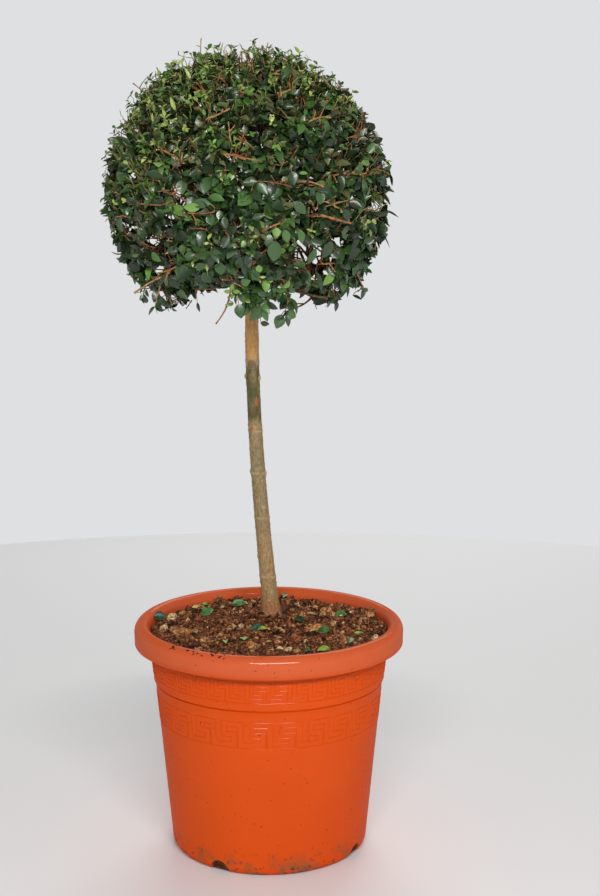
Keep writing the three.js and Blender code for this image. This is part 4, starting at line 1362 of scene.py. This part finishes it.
# Leaves
# Small, opposite, leathery leaves, glossy and dark green, in pairs up each outer twig with one pair at its end.
# On top they are small and stand up. Lower down they are larger and rounder, and hang with their faces outwards.

LEAF_HEIGHTS = [-0.9, -0.2, 0.35, 1.0]  # shares of the head's rise above its middle
LEAF_LENGTHS = [14.5, 12.5, 10.5, 9.0]
LEAF_SLIMNESS = [0.31, 0.31, 0.31, 0.30]  # half width as a share of the length
LEAF_HANG = [-0.55, -0.3, 0.0, 0.25]
LEAF_TURN = math.pi / 2  # between one pair and the next
LEAVES_LOST = 0.1
LEAF_REACH = 1.03
REACH_WANDER = 0.05
WANDER_SPACING = 0.16
TOP_LEAF_REACH = 0.11  # so much further on top, where the shoots have grown again
RIGHT_LEAF_REACH, LEFT_LEAF_REACH = 0.07, 0.05
FURTHEST_LEFT, FURTHEST_BACK = -162, 179
LEAF_SPRAYS = [
    {"round": 3, "pairs": 1, "first": 0.5, "end_pair": False},
    {"round": 4, "pairs": 2, "first": 0.4, "end_pair": False},
    {"round": 5, "pairs": 1, "first": 0.4, "end_pair": True},
]
POCKET_SPACING = 0.15  # of the head's radius
POCKET_SHARE = 0.27
POCKET_LEFT_OUT = 0.6
SHOOT_CLEAR = 4.0  # no leaf's middle comes nearer to a bare shoot that it would hide
KNOWN_CLEAR = 6.5  # nor to a leaf to know again
MOST_TRIANGLES = 150000  # in one piece
LEAF_SEED = 47
LEAF_GREENS = [
    leaf_finish("leaf_deep", (0.015, 0.029, 0.011), 0.36, 0.25),
    leaf_finish("leaf_dark", (0.023, 0.051, 0.016), 0.36, 0.3),
    leaf_finish("leaf_green", (0.037, 0.090, 0.021), 0.36, 0.3),
    leaf_finish("leaf_mid", (0.062, 0.145, 0.029), 0.36, 0.25),
    leaf_finish("leaf_fresh", (0.14, 0.27, 0.045), 0.4, 0.2),
    leaf_finish("leaf_new", (0.34, 0.42, 0.1), 0.42, 0.15),
    leaf_finish("leaf_olive", (0.11, 0.12, 0.04), 0.4, 0.2),
]
DARK, GREEN, MID, FRESH, NEW, OLIVE = range(1, len(LEAF_GREENS))

# Leaves to know again: where each starts, the way to its tip, its half width and its green
KNOWN_LEAVES = np.array([
    (-58, -89, 634, -16, 2, 0, 4.3, 4), (-49, -91, 637, -18, 1, 1, 4.6, 2), (-50, -91, 644, 13, -6, -3, 3.9, 3),
    (-106, -49, 592, 8, -8, -8, 3.7, 3), (-75, -82, 658, 0, -5, -12, 5.4, 2), (-49, -91, 628, 1, -2, -10, 4.7, 2),
    (-40, -92, 631, -2, -2, -8, 3.1, 2), (-37, -92, 626, 2, -2, -11, 3.3, 1), (-41, -79, 585, -1, 4, -13, 5.1, 2),
    (-58, -69, 575, 7, 2, -11, 4.7, 1), (10, -85, 606, -2, -6, 8, 3.6, 4),
    (-84, -73, 610, 14, -10, -4, 5.4, 0), (-90, -63, 593, 11, -2, 3, 4.3, 1), (-65, -68, 579, 10, -9, 2, 3.9, 2),
    (-23, -68, 565, 8, -6, 2, 3.9, 3), (-7, -78, 582, 2, 1, -7, 3.3, 4), (-2, -68, 568, 2, -2, -11, 4.3, 4),
    (21, -61, 567, -6, -2, -8, 4.3, 4), (-129, -40, 639, -7, 4, 2, 1.6, 5), (-129, -40, 639, -5, 1, -2, 1.4, 5),
    (25, -86, 639, 12, 2, -11, 4.7, 2), (48, -76, 649, 1, -3, -13, 5.1, 2), (23, -85, 666, 3, -4, -12, 4.3, 1),
    (19, -86, 624, 8, 1, -8, 3.5, 3), (9, -88, 616, 1, -1, -9, 4.1, 4), (17, -85, 614, 3, 1, -12, 3.9, 3),
    (30, -80, 614, 4, 2, -13, 3.9, 3), (9, -85, 604, -2, 2, -19, 6.8, 2), (45, -67, 597, -6, 1, -16, 3.7, 2),
    (36, -63, 581, -10, -10, 2, 3.9, 2), (60, -59, 603, -8, -2, -16, 4.7, 1), (38, -59, 576, 2, -2, -16, 3.4, 3),
    (45, -54, 575, 7, -2, -18, 3.9, 1), (62, -37, 574, -8, -2, -14, 4.7, 4), (72, -27, 575, 3, -2, -14, 4.7, 2),
    (84, -23, 591, -14, -2, -3, 3.9, 2), (89, -35, 659, 2, -5, -15, 5.8, 2), (87, -33, 673, 10, 11, 1, 3.3, 4),
    (94, -21, 615, -7, -2, -2, 2.7, 4), (98, -16, 619, 6, 6, 0, 2.7, 5), (96, -15, 612, 2, 1, -8, 2.9, 4),
    (-8, -93, 657, -11, -4, -1, 4.3, 1), (-7, -93, 655, 9, -3, -9, 4.7, 2),
    (30, -83, 664, 8, 0, 0, 2.1, 4), (-18, -88, 604, -4, -2, -5, 2.5, 4), (111, 0, 675, 7, -2, 1, 1.4, 5),
    (111, 0, 673, 6, -2, -2, 1.2, 5), (-61, -33, 746, 10, -2, -1, 3.5, 4), (-67, 0, 765, 10, -2, -3, 3.3, 3),
    (-40, -2, 766, 11, -2, 0, 2.9, 2), (-12, 3, 768, 7, -2, -6, 3.1, 3), (-6, -50, 740, 11, -3, 0, 3.3, 2),
    (-45, -63, 725, 10, -6, 1, 1.8, 3), (-84, -55, 713, 0, -2, -12, 3.3, 2), (-71, -75, 692, -4, -5, -7, 2.0, 1),
    (-115, -47, 683, 10, -2, 1, 2.7, 4), (-20, -94, 655, 12, -3, 2, 3.9, 2), (-105, -28, 721, -6, -2, 6, 1.6, 5),
    (-82, -51, 720, -5, -2, 12, 2.1, 5), (-77, -45, 729, 3, -1, 6, 1.4, 5), (-70, -22, 749, -5, -2, 11, 1.6, 5),
    (-70, -22, 749, 4, 4, 7, 1.5, 4), (-103, -43, 709, -2, 6, 10, 1.4, 5), (-102, -40, 713, 3, -2, 8, 1.4, 4),
    (-54, -68, 715, -3, 1, 6, 1.6, 4), (-32, -62, 558, 1, -3, 6, 2.1, 4), (-33, -62, 557, -6, -3, 0, 2.1, 4),
    (-31, -62, 557, 7, -3, 0, 2.1, 4), (-32, -62, 555, 0, -3, -5, 2.1, 4), (-105, -20, 545, 0, -3, -13, 3.1, 3),
    (-67, -10, 543, 2, -3, -9, 1.9, 0), (-26, -55, 545, 3, -3, -13, 5.8, 2), (-2, -58, 541, 2, -3, -12, 3.9, 3),
    (-6, -52, 527, 8, -3, -1, 2.7, 0), (14, -52, 535, -5, -3, -13, 5.4, 2), (18, -50, 535, 3, -3, -11, 2.9, 1),
    (-11, -58, 549, -5, -3, -6, 4.1, 1), (-6, -56, 548, 6, -3, -5, 3.7, 2), (-19, -62, 549, 4, -3, -2, 1.6, 5),
    (-31, -42, 544, -8, -3, -1, 1.9, 4), (116, 20, 664, 5, -3, -12, 2.7, 0), (112, 20, 629, 14, -3, -7, 3.5, 1),
    (108, 20, 608, 12, -3, -13, 2.9, 0), (93, 10, 572, 7, -3, -2, 2.9, 2), (68, -10, 550, -8, -3, -9, 3.9, 2),
    (81, 0, 549, 9, -3, -4, 2.1, 0), (86, 0, 560, 4, -3, -2, 1.9, 0), (92, 0, 556, 2, -3, -3, 1.2, 0),
    (-46, 0, 770, -5, -3, 11, 1.3, 5), (-43, 0, 773, 1, -3, 12, 1.1, 5), (-40, 0, 779, 5, -3, 5, 1.1, 4),
    (-63, 10, 781, -4, -3, 2, 1.2, 0), (-83, 10, 773, -1, -3, 5, 1.4, 4), (-106, 20, 753, 0, -3, 5, 1.0, 4),
    (-12, 0, 781, 1, -3, 5, 1.2, 4), (-23, 0, 778, -3, -3, 6, 1.4, 1), (-116, 25, 753, 7, -3, 3, 1.4, 1),
])


def spray_leaves(twigs, spray, rng):
    """Bases, headings, tops, lengths, half widths and the spray's number for every leaf on these twigs."""
    rows = []
    for number, twig in enumerate(twigs):
        start, end = twig["start"], twig["end"]
        heading = (end - start) / np.linalg.norm(end - start)
        _, out = share_of_reach(end)
        if noise.noise(Vector(out) / POCKET_SPACING) > POCKET_SHARE and rng.uniform() < POCKET_LEFT_OUT:
            continue
        high = (end[2] - HEAD_CENTRE[2]) / HEAD_RISE
        size = np.interp(high, LEAF_HEIGHTS, LEAF_LENGTHS) * rng.uniform(0.85, 1.15)
        slim = np.interp(high, LEAF_HEIGHTS, LEAF_SLIMNESS)
        hang = np.array([0, 0, np.interp(high, LEAF_HEIGHTS, LEAF_HANG)])
        upright = min(0.7, max(0.2, 0.4 + 0.35 * high))
        facing = out * (1 - upright) + np.array([0, 0, upright])
        across = np.cross(heading, rng.normal(size=3))
        across /= np.linalg.norm(across)
        square = np.cross(heading, across)
        shares = list(np.linspace(spray["first"], 0.85, spray["pairs"] + (high > 0.3)))
        if spray["end_pair"]:
            shares.append(1.0)
        for node, share in enumerate(shares):
            turn = node * LEAF_TURN + rng.normal(0, 0.25)
            aside = across * math.cos(turn) + square * math.sin(turn)
            base = bend_points(start, twig["middle"], end, share)
            for side in (-1, 1):
                if rng.uniform() < LEAVES_LOST:
                    continue
                leaf_heading = heading * 0.55 + aside * side + hang + rng.normal(0, 0.3, 3)
                top = facing + rng.normal(0, 0.38, 3)
                length = size * np.clip(rng.lognormal(0, 0.2), 0.6, 1.5)
                rows.append((*base, *leaf_heading, *top, length, length * slim * rng.uniform(0.85, 1.15), number))
    return np.array(rows)


shoot_tree = kdtree.KDTree(len(main_paths) * SHOOT_STEPS)
for index, point in enumerate(np.concatenate(main_paths)):
    shoot_tree.insert(point, index)
shoot_tree.balance()
shoot_shares = share_of_reach(np.concatenate(main_paths))[0]


def hides_shoot(middle, share):
    """Whether a leaf would lie over one of the bare shoots."""
    _, index, apart = shoot_tree.find(middle)
    return apart < SHOOT_CLEAR and share > shoot_shares[index] - 0.02 and index % SHOOT_STEPS > 3


# Sprigs that hang in front of the stem's top and from the head's lower edge, each as the points it passes
HANGING_SPRIGS = [
    [(-4, -42, 573), (-3, -48, 561), (0, -51, 547)], [(-15, -44, 577), (-18, -51, 565), (-13, -53, 552)],
    [(8, -42, 575), (12, -49, 562), (15, -51, 549)], [(14, -46, 566), (19, -51, 556), (22, -52, 546)],
    [(-27, -46, 580), (-31, -53, 568), (-27, -55, 555)], [(-8, -45, 580), (-9, -54, 570), (-8, -57, 558)],
    [(2, -45, 582), (5, -55, 572), (7, -57, 560)], [(15, -51, 560), (21, -52, 549), (17, -52, 538)],
    [(-10, -45, 575), (-13, -54, 560), (-12, -56, 546)], [(-20, -46, 575), (-22, -54, 562), (-19, -55, 548)],
    [(-3, -46, 572), (-5, -56, 558), (-4, -57, 545)], [(-100, -20, 562), (-104, -24, 550), (-106, -25, 540)],
    [(-90, -15, 560), (-92, -20, 549), (-91, -22, 540)], [(-112, -10, 567), (-117, -14, 556), (-118, -16, 547)],
    [(60, -12, 562), (63, -15, 552), (64, -16, 545)], [(83, -5, 574), (88, -8, 564), (91, -9, 556)],
]
SPRIG_LEAF_SIZE = 0.95
EDGE_SPRIGS = 5  # the last ones hang from the lower edge, with smaller and darker leaves
EDGE_LEAF_SIZE = 0.7
SPRIG_SIDES, STALK_SIDES = 6, 5

known_middles = KNOWN_LEAVES[:, 0:3] + KNOWN_LEAVES[:, 3:6] / 2
known_shares = share_of_reach(known_middles)[0]


def hides_known(middle, share):
    """Whether a leaf would lie over one of the leaves to know again."""
    over = np.linalg.norm(known_middles - middle, axis=1) < KNOWN_CLEAR
    return bool((over & (share > known_shares - 0.03)).any())


def add_leaves(name, rows, shade, rng):
    """Leaves in one piece, left out where one would leave the head's reach, close a gap or hide a bare shoot."""
    bases, headings, lengths = rows[:, 0:3], rows[:, 3:6], rows[:, 9]
    unit = headings / np.linalg.norm(headings, axis=1)[:, None]
    tips = bases + unit * lengths[:, None]
    middles = (bases + tips) / 2
    far, out = share_of_reach(tips)
    wander = np.array([noise.noise(Vector(way) / WANDER_SPACING) for way in out])
    limit = LEAF_REACH + REACH_WANDER * wander + TOP_LEAF_REACH * out[:, 2].clip(0)
    limit += RIGHT_LEAF_REACH * out[:, 0].clip(0) + LEFT_LEAF_REACH * (-out[:, 0]).clip(0)
    kept = (far < limit) & (tips[:, 0] > FURTHEST_LEFT) & (tips[:, 1] < FURTHEST_BACK)
    kept &= ~(is_open(bases) | is_open(middles) | is_open(tips + np.outer(rng.uniform(-1, 7, len(rows)), (0, 0, 1))))
    shares = share_of_reach(middles)[0]
    kept &= [not (hides_shoot(middle, share) or hides_known(middle, share)) for middle, share in zip(middles, shares)]
    return leaf_piece(name, rows[kept], shade[kept], rng)


def leaf_piece(name, rows, shade, rng):
    """Leaves in one piece, each of one green, and folded and bent in its own way."""
    count = len(rows)
    points, faces = leaves(rows[:, 0:3], rows[:, 3:6], rows[:, 6:9], rows[:, 9], rows[:, 10],
                           rng.uniform(0.15, 0.65, count), rng.uniform(-0.05, 0.45, count))
    piece = make_piece(name, points, faces.tolist(), LEAF_GREENS, np.repeat(shade, LEAF_FACES))
    return piece


def spray_shades(rows, twigs, rng):
    """One green for each spray: olive and fresher ones towards the top and the upper left."""
    ends = np.array([twig["end"] for twig in twigs]) - HEAD_CENTRE
    upper = (ends[:, 2] / HEAD_RADIUS).clip(-1, 1)
    low = 0.5 - 0.5 * upper
    pick = rng.uniform(0, 1, len(twigs))
    steps = np.cumsum([0.30 - 0.04 * low, 0.33 + 0 * low, 0.20 + 0.07 * low], axis=0)
    shades = (pick > steps).sum(axis=0)
    fresh = np.clip(0.04 + 0.05 * upper - 0.04 * ends[:, 0] / HEAD_RADIUS, 0.01, 0.12)
    shades = np.where(rng.uniform(0, 1, len(twigs)) < (0.3 * upper).clip(0.03), OLIVE, shades)
    shades = np.where(rng.uniform(0, 1, len(twigs)) < fresh, FRESH, shades)
    return shades[rows[:, 11].astype(int)]


rng = np.random.default_rng(LEAF_SEED)
for spray in LEAF_SPRAYS:
    twigs = rounds[spray["round"]]
    rows = spray_leaves(twigs, spray, rng)
    halves = np.array_split(rows, 2) if len(rows) * LEAF_FACES > MOST_TRIANGLES else [rows]
    for half, part in zip(halves, "ab"):
        outer_leaves = add_leaves(f"leaves_{spray['round']}{part}", half, spray_shades(half, twigs, rng), rng)
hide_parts(*[f"foliage_{place}" for place in (*BOUGH_PLACES, "top")])

bases, spans = KNOWN_LEAVES[:, 0:3], KNOWN_LEAVES[:, 3:6]
_, out = share_of_reach(bases + spans / 2)
facing = out * (1, 1, 0.5) + (0, 0, 0.25) + rng.normal(0, 0.22, out.shape)
count = len(bases)
points, faces = leaves(bases, spans, facing, np.linalg.norm(spans, axis=1), KNOWN_LEAVES[:, 6],
                       rng.uniform(0.2, 0.5, count), rng.uniform(0.0, 0.25, count))
shade = np.repeat(KNOWN_LEAVES[:, 7].astype(int), LEAF_FACES)
make_piece("leaves_known", points, faces.tolist(), LEAF_GREENS, shade)

sprig_paths = np.array([smooth_path([nearest(wood_ends, points[0]), *points]) for points in HANGING_SPRIGS])
radii = np.tile(np.linspace(0.95, 0.5, SHOOT_STEPS), (len(sprig_paths), 1))
wood_piece("hanging_sprigs", sprig_paths, radii, SPRIG_SIDES, rng.choice([0, 1, 2], len(sprig_paths)))
sprigs = [{"start": path[0], "middle": path[SHOOT_STEPS // 2], "end": path[-1]} for path in sprig_paths]
rows = spray_leaves(sprigs, {"pairs": 4, "first": 0.25, "end_pair": True}, rng)
at_edge = rows[:, 11] >= len(HANGING_SPRIGS) - EDGE_SPRIGS
rows[:, 9:11] *= np.where(at_edge, EDGE_LEAF_SIZE, SPRIG_LEAF_SIZE)[:, None]
shade = rng.choice([DARK, GREEN, MID, FRESH], len(rows), p=[0.25, 0.4, 0.25, 0.1])
shade = np.where(at_edge, np.minimum(shade, MID) - 1, shade)
leaf_piece("leaves_hanging", rows, shade, rng)

# Each leaf to know again has a stalk from the nearest twig, shoot or sprig
carriers = np.vstack([wood_ends, *[path[2:] for path in main_paths[:len(KNOWN_SHOOTS)]], *sprig_paths])
stalks = []
for base, span in zip(bases, spans):
    carrier = nearest(carriers, base - span * 0.4)
    stalks.append(smooth_path([carrier, (carrier + base - span * 0.3) / 2, base, base + span * 0.15]))
radii = np.tile(np.linspace(0.5, 0.3, SHOOT_STEPS), (count, 1))
wood_piece("leaf_stalks", np.array(stalks), radii, STALK_SIDES, rng.choice([1, 2], count))

# New growth
# Since the last clipping, soft shoots have come out beyond the surface, mostly at the top and the upper left.
# Each is a thin green stem with two or three pairs of small narrow leaves, yellow green or olive.

NEW_SHOOT_COUNT = 900
NEW_SHOOT_LENGTH = (5, 20)
NEW_LEAF_LENGTH = (4.0, 8.0)
NEW_LEAF_SLIMNESS = 0.25
NEW_TOP_REACH, NEW_LEFT_REACH = 0.11, 0.03
NEW_STEM_RADIUS = {"radius": 0.45, "foot_radius": 0.5}
NEW_STEM_SIDES = 4

chance = np.clip(1.5 * outward[:, 2] - 0.7 * outward[:, 0] - 0.2, 0.08, 1.6)
picked = rng.choice(len(outer_ends), NEW_SHOOT_COUNT, replace=False, p=chance / chance.sum())
shoots = []
for end, out in zip(outer_ends[picked], outward[picked]):
    heading = out * 0.7 + np.array([0, 0, 0.7]) + rng.normal(0, 0.3, 3)
    tip = end + heading / np.linalg.norm(heading) * rng.uniform(*NEW_SHOOT_LENGTH)
    room = NEW_TOP_REACH * max(0.0, out[2]) + NEW_LEFT_REACH * max(0.0, -out[0])
    tip = kept_in(tip, rng.uniform(1.0, 1.03) + room * rng.uniform())
    shoots.append({"start": end - out * 2, "middle": (end + tip) / 2, "end": tip, **NEW_STEM_RADIUS})
green_stem = leaf_finish("shoot_green", (0.2, 0.27, 0.06), 0.5, 0.1)
points, faces = tubes(twig_paths(shoots, rng), twig_radii(shoots), NEW_STEM_SIDES)
make_piece("new_shoots", points, faces, [green_stem])
rows = spray_leaves(shoots, {"pairs": 1, "first": 0.5, "end_pair": True}, rng)
rows[:, 9] = rng.uniform(*NEW_LEAF_LENGTH, len(rows))
rows[:, 10] = rows[:, 9] * NEW_LEAF_SLIMNESS
shade = rng.choice([FRESH, NEW, OLIVE, MID], len(shoots), p=[0.2, 0.23, 0.3, 0.27])[rows[:, 11].astype(int)]
add_leaves("leaves_new", rows, shade, rng)

# Ground and light
# A round pale floor in a pale room that is darker overhead, with a wide key light from the front, a faint one from
# the right and a broad one behind. The camera stands where the photo's was.

FLOOR_COLOUR = (0.88, 0.88, 0.87)
FLOOR_RADIUS = 1.4
FLOOR_SIDES = 180
ROOM_COLOUR, OVERHEAD_COLOUR = (0.74, 0.745, 0.76), (0.2, 0.2, 0.205)
DARKENS_FROM_TO = (0.14, 0.4)  # heights of the look upwards, 1 being straight up
KEY_WIDTH, KEY_HEIGHT = 1.4, 0.07
FOCAL_PIXELS, PHOTO_HEIGHT = 1600, 896
SENSOR = 36
LOOKS_DOWN = 9.69  # degrees

floor_finish, _, _ = new_finish("pale_floor", FLOOR_COLOUR, 0.7)
floor_mesh = bpy.data.meshes.new("floor")
edge = np.linspace(0, 2 * math.pi, FLOOR_SIDES, endpoint=False)
edge = np.column_stack([FLOOR_RADIUS * np.cos(edge), FLOOR_RADIUS * np.sin(edge), 0 * edge])
floor_mesh.from_pydata(edge.tolist(), [], [list(range(FLOOR_SIDES))])
floor_mesh.materials.append(floor_finish)
floor = bpy.data.objects.new("floor", floor_mesh)
bpy.context.scene.collection.objects.link(floor)

world = bpy.data.worlds.new("studio")
world.use_nodes = True
tree = world.node_tree
background = tree.nodes["Background"]
way = tree.nodes.new("ShaderNodeTexCoord")
parts = tree.nodes.new("ShaderNodeSeparateXYZ")
tree.links.new(way.outputs["Generated"], parts.inputs["Vector"])
overhead = add_range(tree, parts.outputs["Z"], *DARKENS_FROM_TO)
tree.links.new(add_mix(tree, overhead, ROOM_COLOUR, OVERHEAD_COLOUR), background.inputs["Color"])
background.inputs["Strength"].default_value = 1.0
bpy.context.scene.world = world


def add_light(name, place, aim, size, power):
    """A soft square light, which shines from one place towards another."""
    lamp = bpy.data.lights.new(name, "AREA")
    lamp.size = size
    lamp.energy = power
    light = bpy.data.objects.new(name, lamp)
    light.location = place
    light.rotation_euler = (Vector(aim) - Vector(place)).to_track_quat("-Z", "Y").to_euler()
    bpy.context.scene.collection.objects.link(light)
    return lamp


key = add_light("key", (0.2, -1.9, 1.3), (0, 0, 0.45), KEY_WIDTH, 34)
key.shape = "RECTANGLE"
key.size_y = KEY_HEIGHT
add_light("fill_right", (2.2, -0.8, 1.2), (0, 0, 0.4), 1.6, 1)
add_light("back", (0.2, 2.0, 1.9), (0, 0.8, 0), 1.6, 26)
bpy.context.scene.view_settings.view_transform = "Standard"

camera = bpy.data.cameras.new("camera")
camera.sensor_width = SENSOR
camera.lens = FOCAL_PIXELS / PHOTO_HEIGHT * SENSOR
photo_view = bpy.data.objects.new("camera", camera)
photo_view.location = EYE * MM
photo_view.rotation_euler = (math.radians(90 - LOOKS_DOWN), 0, 0)
bpy.context.scene.collection.objects.link(photo_view)
bpy.context.scene.camera = photo_view
